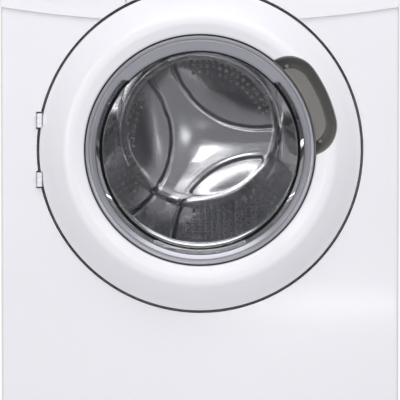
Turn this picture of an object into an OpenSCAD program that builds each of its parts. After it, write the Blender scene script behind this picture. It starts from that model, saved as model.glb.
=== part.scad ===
// Freestanding front-loading washing machine, at real size, in millimetres.
// The origin is on the floor under the middle of the machine. x is to the right,
// y to the back and z up, and the front faces -y.

/* [Cabinet] */
// Width of the cabinet
cab_w = 600; // [595:1:640]
// Height from the floor to the top of the worktop
cab_h = 850; // [850:1:900]
// Depth from the front panel's face to the rear panel's face
body_d = 510; // [510:1:600]
// Thickness of the cabinet's steel sheet
sheet = 1.2; // [0.8:0.1:1.5]
// Thickness of the worktop
top_t = 30; // [24:1:36]
// Radius of the cabinet's upright front edges
edge_r = 5; // [4:0.5:8]
// Height of the base tray above the floor
tray_z = 20; // [18:1:24]
// Height of the upper edge of the kick plinth
plinth_top = 98; // [94:1:104]
// Depth of the front panel's folded sides
fold_d = 16; // [12:1:20]
// Width of the seams between neighbouring panels
seam = 1.5; // [1:0.1:2]

/* [Door] */
// Height of the door's centre above the floor
door_z = 490; // [486:1:496]
// Outer radius of the door ring
door_r = 243.5; // [240:0.5:245]
// Gap between the door ring and the panel round it
door_gap = 3; // [2:0.1:4]
// How far the ring's crest stands in front of the panel
door_bulge = 35; // [30:1:40]
// Radius of the ring's crest
crest_r = 197; // [194:1:200]
// Wall thickness of the door ring
ring_t = 3; // [2:0.1:3.5]
// Outer radius of the silver ring
bezel_r = 172; // [170:0.5:173]
// Inner radius of the silver ring
bezel_in = 156; // [154:0.5:158]
// Depth of the dished recess behind the door
recess_d = 23; // [22:0.5:26]
// Radius of the loading opening in the front panel
mouth_r = 170; // [169:0.5:172]

/* [Glass bowl] */
// Thickness of the glass
glass_t = 5; // [4:0.5:6]
// Outer radius of the bowl where it meets its flange
bowl_r = 152; // [148:0.5:153]
// Depth of the bowl behind its flange
bowl_d = 115; // [100:1:118]
// Half the width of the bowl's back
bowl_w = 124.8; // [116:0.4:126]
// Half the height of the bowl's back
bowl_h = 118; // [110:1:119]
// How far the middle of the bowl's back lies above the door's centre
bowl_up = 34; // [26:1:34]

/* [Door handle] */
// Angle of the handle's middle above the horizontal, in degrees
handle_a = 24.2; // [20:0.1:28]
// Half the angle that the handle spans, in degrees
handle_half = 27.4; // [26.4:0.1:28]
// Outer radius of the handle
handle_r = 209.5; // [206:0.5:211]
// Radius of the handle's round ends
handle_end_r = 45.5; // [44:0.5:47]
// Outer radius of the grip plate
grip_r = 193.5; // [190:0.5:196]
// Half the angle that the grip plate spans, in degrees
grip_half = 20.6; // [19.5:0.1:21]
// Radius of the grip plate's round ends
grip_end_r = 29; // [27:0.5:31]
// Depth of the finger pocket
pocket_d = 20; // [16:0.5:22]

/* [Control panel] */
// Height of the control panel's lower seam in the middle
seam_z = 682; // [678:1:686]
// Radius of that seam's wide arc
seam_r = 1950; // [1700:10:2400]
// How far the control panel stands in front of the steel
fascia_t = 4; // [3:0.5:5]
// Place of the seam at the right of the drawer front
drawer_x = -112; // [-116:1:-108]
// Radius of the programme knob
knob_r = 26; // [22:0.5:28]
// Height of the knob, the window and the start button
control_z = 781; // [778:1:784]
// Width of the display window
window_w = 124; // [110:1:130]
// Height of the display window
window_h = 34; // [28:1:36]
// Travel of the buttons
button_travel = 1.5; // [1:0.1:2]

/* [Drum and tub] */
// Height of the drum's axis above the floor
axis_z = 500; // [497:1:501]
// Inner radius of the drum
drum_r = 236; // [228:0.5:237]
// Thickness of the drum's steel
drum_t = 1.2; // [0.8:0.1:1.5]
// Radius of the drum's mouth
drum_mouth_r = 158; // [157:0.5:162]
// Depth of the star pressed into the drum's back
star_d = 14; // [8:1:16]
// Height of the lifters
lifter_h = 55; // [40:1:60]
// Space between the drum and the tub
tub_gap = 9; // [8:0.5:10]
// Wall thickness of the tub
tub_t = 3.5; // [3:0.1:4]
// Radius of the shaft in the inner bearing
shaft_r = 15; // [14:0.5:17]
// Radius of the shaft in the outer bearing and the pulley
shaft_end_r = 12.5; // [11:0.5:13.5]
// Radius of the drum pulley
pulley_r = 150; // [140:1:155]
// Radius of the motor pulley
motor_pulley_r = 10; // [9:0.5:12]
// Height of the motor's axis above the floor
motor_z = 165; // [160:1:170]
// Radius of the motor
motor_r = 62; // [56:1:64]

/* [Fits] */
// Clearance between a shaft and its bearing or bore
run_gap = 0.05; // [0.03:0.01:0.08]
// Clearance between a moving piece and the edge round it
edge_gap = 0.5; // [0.4:0.1:0.8]
// Clearance between soft or round pieces that lie on each other
seat_gap = 0.3; // [0.2:0.05:0.4]
// How far the water inlet reaches behind the rear panel
port_reach = 15; // [14:1:18]
// Radius of the inlet's three-quarter-inch thread
port_r = 13.2; // [13.2:0.1:13.2]

/* [Hidden] */

paint = [0.95, 0.95, 0.96];
dark_plastic = [0.23, 0.23, 0.23];
grey_plastic = [0.42, 0.42, 0.41];
silver = [0.70, 0.70, 0.73];
steel = [0.78, 0.79, 0.81];
zinc = [0.62, 0.64, 0.66];
tub_grey = [0.80, 0.81, 0.80];
rubber_grey = [0.36, 0.37, 0.39];
concrete = [0.62, 0.61, 0.58];
board_green = [0.10, 0.38, 0.22];

// Places that follow from the driving sizes
half_w = cab_w / 2;
depth = door_bulge + body_d + port_reach;
front_y = -depth / 2 + door_bulge;
rear_y = front_y + body_d;
side_y = front_y + fold_d;
top_z = cab_h - top_t;
inner_x = half_w - sheet;
recess_r = door_r + door_gap;
floor_y = front_y + recess_d;
crest_y = front_y - door_bulge;
fascia_y = front_y - fascia_t;
fascia_lap = 12;
fascia_edge = 2.5;
shelf_z = top_z - 78;
fascia_wall = 2.5;

rim_front_y = front_y - 4;
rim_back_y = floor_y - 7;
ring_in_r = bezel_r + 2;
ring_in_y = crest_y + 8;
flange_y = front_y - 5;
flange_t = 5;
glass_r = bezel_in + 8;
bezel_y = crest_y + 11;
hinge_x = -(door_r - 1.5);
hinge_y = front_y - 5;
hinge_z = 44.5;
knuckle_r = 4;
knuckle_h = 7.5;
pin_r = 2;

mouth_y = front_y + 95;
tub_mouth_y = mouth_y - 26;
tub_front_y = mouth_y - 12;
joint_y = mouth_y + 30;
pulley_y = rear_y - 22;
pulley_w = 12;
tub_back_y = pulley_y - 35;
drum_back_y = tub_back_y - 22;
tub_in_r = drum_r + drum_t + tub_gap;
tub_r = tub_in_r + tub_t;
rib_r = tub_r + 4.5;
bearing_1_r = 31;
bearing_1_w = 16;
bearing_2_r = 26;
bearing_2_w = 12;
bearing_split_y = tub_back_y + 18.5;
hub_end_y = pulley_y - 2;
star_petals = [60, 180, 300];
star_petal_r = 143;
star_petal_off = 187;
star_edge_r = 205;

housing_x0 = -(half_w - 10);
housing_x1 = drawer_x - 4;
housing_z0 = shelf_z - 1;
housing_z1 = top_z - 5;
housing_y1 = front_y + 305;
housing_wall = 2.5;
tray_wall = 2;

foot_x = half_w - 40;
foot_ys = [front_y + 50, rear_y - 40];
stem_r = 5;
spring_x = half_w - 38;
spring_y = front_y + 340;
spring_top_z = top_z - 24;
spring_low_z = axis_z + 112;
hook_pin_r = 3;
wire_r = 1.4;
coil_r = 9;
curls = 14;
damper_y = front_y + 265;
damper_foot = [half_w - 95, tray_z + 40];
damper_head = [140, axis_z - 224];
damper_a = atan((damper_foot[0] - damper_head[0]) / (damper_head[1] - damper_foot[1]));
damper_l = norm(damper_head - damper_foot);
eye_r = 9;
eye_pin_r = 4;
well_x = 55;
well_y0 = joint_y + 5;
well_y1 = well_y0 + 195;
well_z = axis_z - 272;
motor_y0 = well_y1 + 25;
motor_y1 = motor_y0 + 116;
motor_shaft_r = 6;
belt_t = 2.5;
belt_gap = 0.3;
pump_x = half_w - 85;
pump_z = 60;
pump_r = 34;
filter_r = 22;
cap_r = 26;
flap_x0 = half_w - 132;
flap_x1 = half_w - 32;
flap_z0 = 33;
flap_z1 = 90;
flap_pin = [front_y + 3, flap_z0 + 4];
flap_low_gap = 1.6;
valve_x = half_w - 105;
valve_z = top_z - 45;
drain_x = half_w - 55;
drain_z = top_z - 180;
gland_x = -half_w + 65;
gland_z = top_z - 120;
window_x = half_w - 170;
start_x = half_w - 47;
knob_x = -42;
start_r = 13;
option_x = window_x;
option_z = shelf_z + 13;

// Turns a profile about the line through [0, z] along y. A profile point is
// [radius, forward], where forward is minus y.
module turned(z) {
  translate([0, 0, z])
    rotate([90, 0, 0])
      rotate_extrude($fn = 128)
        children();
}

// A round bar along y, from y0 back to y1
module bar_y(x, z, r, y0, y1, fn = 96) {
  translate([x, y0, z])
    rotate([-90, 0, 0])
      cylinder(r = r, h = y1 - y0, $fn = fn);
}

// A box given by its two corners
module box(a, b) {
  translate(a)
    cube(b - a);
}

// A rectangle with round corners, its middle at the origin
module round_rect(w, h, r) {
  square([w - 2 * r, h], center = true);
  square([w, h - 2 * r], center = true);
  for (sx = [-1, 1], sy = [-1, 1])
    translate([sx * (w / 2 - r), sy * (h / 2 - r)])
      circle(r = r, $fn = 48);
}

// A plate with round corners that faces the front, from y0 back to y1
module front_plate(x, z, w, h, r, y0, y1) {
  translate([x, y1, z])
    rotate([90, 0, 0])
      linear_extrude(y1 - y0)
        round_rect(w, h, r);
}

// The cabinet's plan at the front: a strip whose two front corners are round
module nose_plan(w, y0, y1, r) {
  translate([-w, y0 + r])
    square([2 * w, y1 - y0 - r]);
  translate([-w + r, y0])
    square([2 * (w - r), y1 - y0]);
  for (s = [-1, 1])
    translate([s * (w - r), y0 + r])
      circle(r = r, $fn = 48);
}

// A folded front: its face at y0 and sides that run back to y1
module folded_plan(y0, y1, t) {
  difference() {
    nose_plan(half_w, y0, y1, edge_r);
    nose_plan(half_w - t, y0 + t, y1 + 1, edge_r - t);
  }
}

// All that lies above the control panel's lower seam, raised by lift, back to y1
module above_seam(lift, y1 = front_y + 200) {
  bar_y(0, seam_z + lift + seam_r, seam_r, front_y - 100, y1, 256);
}

// All that lies inside radius r round the door's axis
module door_disc(r, y0, y1) {
  bar_y(0, door_z, r, y0, y1, 128);
}

function unit(v) = v / norm(v);
function along(p, i) = unit(p[min(i + 1, len(p) - 1)] - p[max(i - 1, 0)]);
function square_to(p, i) = let (d = along(p, i)) [-d[1], d[0]];

// The outline of a strip of thickness t that follows the path p
function strip(p, t) = concat(
  [for (i = [0:len(p) - 1]) p[i] + square_to(p, i) * t / 2],
  [for (i = [len(p) - 1:-1:0]) p[i] - square_to(p, i) * t / 2]
);

// Directions square to a path in space, each carried on from the one before
function carried(p, i, n) = let (t = along(p, i)) unit(n - t * (n * t));
function frames(p, n, i = 0) =
  i == len(p) ? [] : let (m = carried(p, i, n)) concat([m], frames(p, m, i + 1));

// A smooth curve through hand-placed points, with a few steps between each two
function between(a, b, c, d, t) = 0.5 * (2 * b + (c - a) * t
  + (2 * a - 5 * b + 4 * c - d) * t * t + (3 * b - a - 3 * c + d) * t * t * t);
function smooth(p, steps) = concat(
  [for (i = [0:len(p) - 2], k = [0:steps - 1])
    between(p[max(i - 1, 0)], p[i], p[i + 1], p[min(i + 2, len(p) - 1)], k / steps)],
  [p[len(p) - 1]]
);

// A tube of radius r that follows the path p, closed at both ends
module tube_along(p, r, sides, n) {
  f = frames(p, n);
  rings = [
    for (i = [0:len(p) - 1], k = [0:sides - 1])
      let (a = 360 * k / sides, b = cross(along(p, i), f[i]))
        p[i] + r * (cos(a) * f[i] + sin(a) * b)
  ];
  last = (len(p) - 1) * sides;
  faces = concat(
    [for (i = [0:len(p) - 2], k = [0:sides - 1])
      let (a = i * sides + k, b = i * sides + (k + 1) % sides)
        [a + sides, b + sides, b]],
    [for (i = [0:len(p) - 2], k = [0:sides - 1])
      let (a = i * sides + k, b = i * sides + (k + 1) % sides)
        [a + sides, b, a]],
    [for (k = [1:sides - 2]) [0, k, k + 1]],
    [for (k = [1:sides - 2]) [last, last + k + 1, last + k]]
  );
  polyhedron(points = rings, faces = faces);
}

// Cabinet

field_w = 360;
field_h = top_z - tray_z - 240;
field_d = 3;
lug_head_r = 5.5;

module side_field(grow, x0, x1) {
  translate([x0, (side_y + rear_y) / 2, (tray_z + top_z) / 2 + 10])
    rotate([90, 0, 90])
      linear_extrude(x1 - x0)
        round_rect(field_w + 2 * grow, field_h + 2 * grow, 40 + grow);
}

// The right side panel. The left one is its mirror image.
module side_panel() {
  difference() {
    union() {
      box([inner_x, side_y + seam, tray_z], [half_w, rear_y - sheet, top_z]);
      box([half_w - 24, rear_y - 2 * sheet, tray_z + 36], [inner_x, rear_y - sheet, top_z]);
      box([half_w - 24, side_y + seam, top_z - sheet], [inner_x, rear_y - 2 * sheet, top_z]);
      side_field(sheet, half_w - field_d - sheet, half_w);
      // The bracket and pin from which a tub spring hangs
      box([spring_x - 8, spring_y - 9, spring_top_z - 8], [inner_x, spring_y - 6, spring_top_z + 12]);
      bar_y(spring_x, spring_top_z, hook_pin_r, spring_y - 9, spring_y + 7, 32);
      bar_y(spring_x, spring_top_z, lug_head_r, spring_y + 5, spring_y + 7, 32);
    }
    side_field(0, half_w - field_d, half_w + 1);
    for (z = side_screw_zs)
      bar_y(half_w - 13, z, screw_r + run_gap, rear_y - 3 * sheet, rear_y, 32);
  }
}

module right_side_panel() {
  color(paint)
    side_panel();
}

module left_side_panel() {
  color(paint)
    mirror([1, 0, 0])
      side_panel();
}

// The steel front, with the round dish that the door closes into
module front_panel() {
  dish = [
    [recess_r + sheet, -front_y], [recess_r, -front_y], [recess_r, -floor_y],
    [mouth_r + sheet, -floor_y], [mouth_r + sheet, -floor_y + 12], [mouth_r, -floor_y + 12],
    [mouth_r, -floor_y - sheet], [recess_r + sheet, -floor_y - sheet]
  ];
  color(paint)
    difference() {
      union() {
        difference() {
          translate([0, 0, plinth_top + seam])
            linear_extrude(shelf_z - plinth_top - seam)
              folded_plan(front_y, side_y, sheet);
          above_seam(fascia_lap);
          door_disc(recess_r + 0.5, front_y - 1, front_y + 2 * sheet);
        }
        turned(door_z)
          polygon(dish);
        turned(door_z)
          translate([recess_r + 0.2, -front_y - sheet])
            square([3.8, sheet]);
      }
      for (s = [-1, 1])
        box([hinge_x - 5, front_y - 1, door_z + s * hinge_z - 13],
            [hinge_x + 9, floor_y + 2 * sheet, door_z + s * hinge_z + 13]);
      at_latch()
        box([latch_r - 9.5, floor_y - 1, -9], [latch_r + 5.5, floor_y + 2 * sheet, 9]);
    }
}

screw_r = 1.9;
side_screw_zs = [tray_z + 60, tray_z + 280, tray_z + 500, top_z - 80];
low_screw_xs = [-180, -60, 60, 180];
plug_places = [for (s = [-1, 1], z = [axis_z - 150, axis_z + 60]) [s * (half_w - 78), z]];
plug_r = 10;
cover_r = 178;

module rear_panel() {
  color(zinc)
    difference() {
      union() {
        box([-half_w + 4, rear_y - sheet, tray_z + 2], [half_w - 4, rear_y, top_z - 2]);
        // The stiffening bead round the cover's opening
        turned(axis_z)
          polygon(strip([[cover_r - 4, -rear_y + 0.6], [cover_r + 14, -rear_y + 0.6],
                         [cover_r + 19, -rear_y + 3.6], [cover_r + 24, -rear_y + 0.6]], sheet));
      }
      bar_y(0, axis_z, cover_r - 8, rear_y - 10, rear_y + 1);
      for (s = [-1, 1], z = side_screw_zs)
        bar_y(s * (half_w - 13), z, screw_r + run_gap, rear_y - 5, rear_y + 1, 32);
      for (x = low_screw_xs)
        bar_y(x, tray_z + 16, screw_r + run_gap, rear_y - 5, rear_y + 1, 32);
      for (p = plug_places)
        bar_y(p[0], p[1], plug_r, rear_y - 5, rear_y + 1, 48);
      bar_y(valve_x, valve_z, port_r + 1.5, rear_y - 5, rear_y + 1, 48);
      bar_y(drain_x, drain_z, 12.5, rear_y - 5, rear_y + 1, 48);
      bar_y(gland_x, gland_z, 9, rear_y - 5, rear_y + 1, 48);
    }
}

// The pressed cover behind the drum pulley
module rear_access_cover() {
  color(zinc)
    turned(axis_z)
      polygon(strip([[0.01, -rear_y - 7.6], [cover_r - 26, -rear_y - 7.6],
                     [cover_r - 18, -rear_y - 1], [cover_r - 8, -rear_y - 0.6],
                     [cover_r, -rear_y - 0.6]], sheet));
}

tray_wall_h = 34;
tray_t = 2.5;

module base_tray() {
  y1 = rear_y - sheet;
  floor_z = tray_z + tray_t;
  color(dark_plastic)
    difference() {
      union() {
        difference() {
          box([-inner_x, side_y, tray_z], [inner_x, y1, tray_z + tray_wall_h]);
          box([-inner_x + tray_t, side_y + tray_t, floor_z],
              [inner_x - tray_t, y1 - tray_t, tray_z + tray_wall_h + 1]);
        }
        for (s = [-1, 1], y = foot_ys)
          translate([s * foot_x, y, tray_z])
            cylinder(r = 15, h = 24, $fn = 48);
        // Ribs across the tray
        for (y = [side_y + 95, 0, rear_y - 95])
          box([-inner_x + 1, y - 1.5, tray_z + 1], [inner_x - 1, y + 1.5, tray_z + 18]);
        // Cheeks and pins that carry the dampers' feet
        for (s = [-1, 1]) {
          for (c = [-1, 1])
            translate([s * damper_foot[0], damper_y + c * 9.5, 0])
              box([-12, -1.5, tray_z + 1], [12, 1.5, damper_foot[1] + 10]);
          bar_y(s * damper_foot[0], damper_foot[1], eye_pin_r, damper_y - 11, damper_y + 11, 32);
        }
        // The saddle under the drain pump
        box([pump_x - 22, side_y + 62, tray_z + 1], [pump_x + 22, side_y + 66, pump_z - 24]);
      }
      for (s = [-1, 1], y = foot_ys)
        translate([s * foot_x, y, tray_z - 1])
          cylinder(r = stem_r + seat_gap, h = 30, $fn = 32);
      for (x = low_screw_xs)
        bar_y(x, tray_z + 16, screw_r + run_gap, y1 - 5, y1 + 1, 32);
      bar_y(pump_x, pump_z, cap_r + 2, side_y - 1, side_y + 5);
      bar_y(pump_x, pump_z + 4, pump_r + seat_gap, side_y + 50, side_y + 110);
      // The cut at the bottom that lets a spill run out
      box([-60, y1 - 80, tray_z - 1], [60, y1 - 40, floor_z + 1]);
    }
}

module worktop() {
  y0 = front_y - 2;
  r = 5;
  mid_y = (y0 + rear_y) / 2;
  color(paint)
    intersection() {
      translate([0, mid_y, top_z - 1])
        linear_extrude(top_t + 2)
          round_rect(cab_w, rear_y - y0, 7);
      translate([0, rear_y + 1, top_z + top_t / 2])
        rotate([90, 0, 0])
          linear_extrude(rear_y - y0 + 2)
            round_rect(cab_w, top_t, r);
      translate([-half_w - 1, mid_y, top_z + top_t / 2])
        rotate([90, 0, 90])
          linear_extrude(cab_w + 2)
            round_rect(rear_y - y0, top_t, r);
    }
}

module kick_plinth() {
  mid_x = (flap_x0 + flap_x1) / 2;
  color(paint)
    difference() {
      union() {
        translate([0, 0, tray_z + 2])
          linear_extrude(plinth_top - tray_z - 2)
            folded_plan(front_y, side_y, 2.5);
        // Eyes for the flap's pins
        for (x = [flap_x0 - 5, flap_x1 + 1])
          box([x, front_y + 2, flap_pin[1] - 4], [x + 4, flap_pin[0] + 4, flap_pin[1] + 4]);
        // Tongues that reach the tray's front wall
        for (x = [-200, -70, 70])
          box([x, front_y + 2, tray_z + 10], [x + 30, side_y, tray_z + 13]);
      }
      front_plate(mid_x, (flap_z0 + flap_z1) / 2, flap_x1 - flap_x0, flap_z1 - flap_z0, 4,
                  front_y - 1, front_y + 4);
      // The lower corners are square, where the flap's edge swings in
      box([flap_x0, front_y - 1, flap_z0], [flap_x1, front_y + 4, flap_pin[1]]);
      translate([flap_x0 - 10, flap_pin[0], flap_pin[1]])
        rotate([0, 90, 0])
          cylinder(r = pin_r + run_gap, h = flap_x1 - flap_x0 + 20, $fn = 32);
    }
}

module filter_flap() {
  g = edge_gap;
  mid_x = (flap_x0 + flap_x1) / 2;
  color(paint)
    union() {
      front_plate(mid_x, (flap_z0 + flap_low_gap + flap_z1 - g) / 2,
                  flap_x1 - flap_x0 - 2 * g, flap_z1 - flap_z0 - g - flap_low_gap, 3, front_y, front_y + 2.5);
      for (s = [0, 1])
        box([s ? flap_x1 - g - 5 : flap_x0 + g, front_y + 2, flap_pin[1] - 2],
            [s ? flap_x1 - g : flap_x0 + g + 5, flap_pin[0] + 2.5, flap_pin[1] + 3]);
      translate([flap_x0 - 4.5, flap_pin[0], flap_pin[1]])
        rotate([0, 90, 0])
          cylinder(r = pin_r, h = flap_x1 - flap_x0 + 9, $fn = 32);
      // The catch at the top
      box([mid_x - 5, front_y + 2, flap_z1 - 7], [mid_x + 5, front_y + 7, flap_z1 - 4]);
    }
}

module levelling_feet() {
  color(dark_plastic)
    for (s = [-1, 1], y = foot_ys)
      translate([s * foot_x, y, 0]) {
        rotate_extrude($fn = 64)
          polygon([[0, 0], [20, 0], [21.5, 1.5], [21.5, 6], [19, 8], [13, 10],
                   [13, 12.5], [stem_r, 12.5], [stem_r, 40], [0, 40]]);
        // The nut that locks the foot against the tray
        difference() {
          translate([0, 0, tray_z - 6])
            cylinder(r = 9.5, h = 6, $fn = 6);
          translate([0, 0, tray_z - 7])
            cylinder(r = stem_r + run_gap, h = 8, $fn = 32);
        }
      }
}

module panel_screws() {
  places = concat([for (s = [-1, 1], z = side_screw_zs) [s * (half_w - 13), z]],
                  [for (x = low_screw_xs) [x, tray_z + 16]]);
  color(zinc)
    for (p = places)
      difference() {
        union() {
          bar_y(p[0], p[1], 4.2, rear_y, rear_y + 2.2, 32);
          bar_y(p[0], p[1], screw_r, rear_y - 2.3, rear_y + 1, 32);
        }
        box([p[0] - 2.8, rear_y + 1.2, p[1] - 0.5], [p[0] + 2.8, rear_y + 3, p[1] + 0.5]);
        box([p[0] - 0.5, rear_y + 1.2, p[1] - 2.8], [p[0] + 0.5, rear_y + 3, p[1] + 2.8]);
      }
}

// Caps in the four holes that the transit bolts leave
module transit_hole_plugs() {
  color(dark_plastic)
    for (p = plug_places)
      translate([p[0], 0, p[1]])
        turned(0)
          polygon([[0.01, -rear_y - 4], [9, -rear_y - 4], [14, -rear_y - 1.5], [14, -rear_y],
                   [plug_r - 0.1, -rear_y], [plug_r - 0.1, -rear_y + 5], [7, -rear_y + 5],
                   [7, -rear_y - 2], [0.01, -rear_y - 2]]);
}

// The gland in the rear panel where a mains lead enters
module cable_gland() {
  color(dark_plastic)
    translate([gland_x, 0, gland_z])
      turned(0)
        polygon([[4, -rear_y - 9], [8.5, -rear_y - 9], [9.5, -rear_y - 7], [12.5, -rear_y - 2.5],
                 [12.5, -rear_y], [8.9, -rear_y], [8.9, -rear_y + 8], [4, -rear_y + 8]]);
}

// Control panel and drawer

module control_panel() {
  x0 = drawer_x + seam;
  color(paint)
    difference() {
      union() {
        difference() {
          union() {
            intersection() {
              translate([0, 0, seam_z - 10])
                linear_extrude(top_z - seam - seam_z + 10)
                  nose_plan(half_w, fascia_y, side_y, fascia_edge);
              above_seam(0, front_y);
            }
            intersection() {
              translate([0, 0, seam_z])
                linear_extrude(top_z - seam - seam_z)
                  folded_plan(fascia_y, side_y, 3);
              above_seam(fascia_lap + 1);
            }
          }
          door_disc(recess_r, fascia_y - 1, front_y + 0.001);
          door_disc(recess_r + 4.5, front_y, side_y);
          box([-half_w - 1, fascia_y - 1, 0], [x0, side_y + 1, cab_h]);
        }
        // The shelf, the top and the end walls behind the face
        box([x0, front_y - 1, shelf_z], [inner_x - seam, front_y + 65, shelf_z + fascia_wall]);
        box([x0, front_y - 1, top_z - seam - fascia_wall], [inner_x - seam, front_y + 65, top_z - seam]);
        box([x0, front_y - 1, shelf_z], [x0 + fascia_wall, front_y + 65, top_z - seam]);
        box([inner_x - seam - fascia_wall, side_y - 1, shelf_z],
            [inner_x - seam, front_y + 65, top_z - seam]);
        // Posts for the circuit board
        for (x = [48, half_w - 16], z = [shelf_z + 8, top_z - 12])
          bar_y(x, z, 3.5, front_y - 1, board_y, 32);
        bar_y(knob_x, control_z, 9, front_y - 1, front_y + 10, 48);
      }
      // The seat and the opening of the display window
      front_plate(window_x, control_z, window_w + 0.4, window_h + 0.4, 5.2, fascia_y - 1, front_y - 1);
      front_plate(window_x, control_z, window_w - 8, window_h - 8, 3, fascia_y - 1, front_y + 1);
      bar_y(knob_x, control_z, knob_shaft_r + run_gap, fascia_y - 1, front_y + 12, 48);
      bar_y(start_x, control_z, start_r + edge_gap, fascia_y - 1, front_y + 1, 64);
      front_plate(option_x, option_z, option_w + 2 * edge_gap, option_h + 2 * edge_gap,
                  option_h / 2 + edge_gap - 0.01, fascia_y - 1, front_y + 1);
    }
}

board_y = front_y + 14;
knob_shaft_r = 4;
option_w = 26;
option_h = 9;

module display_window() {
  color("black")
    front_plate(window_x, control_z, window_w, window_h, 5, fascia_y - 0.3, front_y - 1);
}

module control_board() {
  color(board_green)
    union() {
      box([42, board_y, shelf_z + 3.5], [half_w - 10, board_y + 1.6, top_z - 8]);
      // The display module and the switches behind the buttons
      box([window_x - 50, front_y + 1, control_z - 11], [window_x + 50, board_y + 1, control_z + 11]);
      box([start_x - 4, front_y + 9.5 + button_travel, control_z - 4], [start_x + 4, board_y + 1, control_z + 4]);
      box([option_x - 4, front_y + 9.5 + button_travel, option_z - 3], [option_x + 4, board_y + 1, option_z + 3]);
      box([60, board_y + 1, shelf_z + 10], [110, board_y + 16, shelf_z + 40]);
    }
}

module programme_knob() {
  grips = 20;
  color(silver)
    difference() {
      translate([knob_x, 0, control_z])
        turned(0)
          polygon([[0.01, -fascia_y + 20], [knob_r - 6, -fascia_y + 20], [knob_r - 2.5, -fascia_y + 18],
                   [knob_r, -fascia_y + 3], [knob_r + 1.5, -fascia_y + 0.5], [8, -fascia_y + 0.5],
                   [knob_shaft_r, -fascia_y + 0.5], [knob_shaft_r, -front_y - 13],
                   [0.01, -front_y - 13]]);
      // Finger grooves round the rim, and the mark that shows the setting
      for (i = [1:grips - 1])
        translate([knob_x, 0, control_z])
          rotate([0, 360 * i / grips, 0])
            bar_y(0, knob_r + 1.2, 2, fascia_y - 21, fascia_y - 4, 32);
      box([knob_x - 0.8, fascia_y - 21, control_z + knob_r - 14],
          [knob_x + 0.8, fascia_y - 19, control_z + knob_r - 5]);
    }
}

module start_button() {
  color(silver)
    union() {
      bar_y(start_x, control_z, start_r, fascia_y - 3, front_y + 7, 64);
      bar_y(start_x, control_z, start_r + 2.5, front_y + 0.4, front_y + 2.4, 64);
    }
}

module option_button() {
  color(silver)
    union() {
      front_plate(option_x, option_z, option_w, option_h, option_h / 2 - 0.01, fascia_y - 1.8, front_y + 7);
      front_plate(option_x, option_z, option_w + 4, option_h + 4, 3, front_y + 0.4, front_y + 2.4);
    }
}

scoop_mid_x = -187.5;
scoop_half_x = 62;
scoop_low_z = seam_z + 26;
scoop_high_z = scoop_low_z + 38;
scoop_arc_r = 172;
scoop_y = fascia_y + 18;

module scoop_room(grow, y0, y1) {
  intersection() {
    bar_y(scoop_mid_x, scoop_low_z + scoop_arc_r, scoop_arc_r + grow, y0, y1, 128);
    box([scoop_mid_x - scoop_half_x - grow, y0, scoop_low_z - 10],
        [scoop_mid_x + scoop_half_x + grow, y1, scoop_high_z + grow]);
  }
}

module drawer_front() {
  back_y = front_y + 18;
  wall = 2.5;
  g = edge_gap;
  color(paint)
    difference() {
      union() {
        intersection() {
          translate([0, 0, seam_z - 10])
            linear_extrude(top_z - seam - seam_z + 10)
              nose_plan(half_w, fascia_y, side_y, fascia_edge);
          above_seam(0, front_y - g);
        }
        intersection() {
          difference() {
            box([-inner_x + 1, front_y - 1, seam_z], [drawer_x, back_y, top_z - seam]);
            box([-inner_x + 1 + wall, front_y - 2, seam_z - 1], [drawer_x - wall, back_y + 1, top_z - seam - wall]);
          }
          above_seam(fascia_lap + 3);
        }
        // The wall of the finger scoop, with the lip that the fingers pull
        scoop_room(wall, front_y - 1, scoop_y + wall);
        box([scoop_mid_x - scoop_half_x, front_y - 1, scoop_high_z],
            [scoop_mid_x + scoop_half_x, scoop_y + wall, scoop_high_z + 14]);
        // Two feet that meet the tray
        for (x = [-270, drawer_x - 28])
          box([x, front_y - 1, shelf_z + 22], [x + 14, back_y + 3, shelf_z + 50]);
      }
      scoop_room(0, fascia_y - 1, scoop_y);
      box([scoop_mid_x - scoop_half_x + 3, fascia_y + 6, scoop_high_z - 1],
          [scoop_mid_x + scoop_half_x - 3, scoop_y, scoop_high_z + 10]);
      door_disc(recess_r, fascia_y - 1, front_y);
      door_disc(recess_r + 6, front_y - g, back_y + 10);
      box([drawer_x, fascia_y - 1, 0], [half_w, back_y + 10, cab_h]);
    }
}

module drawer_tray() {
  x0 = housing_x0 + housing_wall + 1.5;
  x1 = housing_x1 - housing_wall - 1.5;
  y0 = front_y + 21;
  y1 = housing_y1 - 30;
  z0 = housing_z0 + housing_wall + 1;
  z1 = housing_z1 - housing_wall - 8;
  w = tray_wall;
  wash_x = x0 + 0.46 * (x1 - x0);
  soft_x = x0 + 0.73 * (x1 - x0);
  color([0.88, 0.89, 0.90])
    difference() {
      box([x0, y0, z0], [x1, y1, z1]);
      box([x0 + w, y0 + w, z0 + w], [wash_x - w / 2, y1 - w, z1 + 1]);
      box([wash_x + w / 2, y0 + w, z0 + w], [soft_x - w / 2, y1 - w, z1 + 1]);
      box([soft_x + w / 2, y0 + w, z0 + w], [x1 - w, y1 - w, z1 + 1]);
      // Slots at the back through which the water flushes the powder out
      for (x = [x0 + 12:14:soft_x - 16])
        box([x, y1 - w - 1, z0 + w], [x + 8, y1 + 1, z0 + w + 14]);
    }
}

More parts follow.
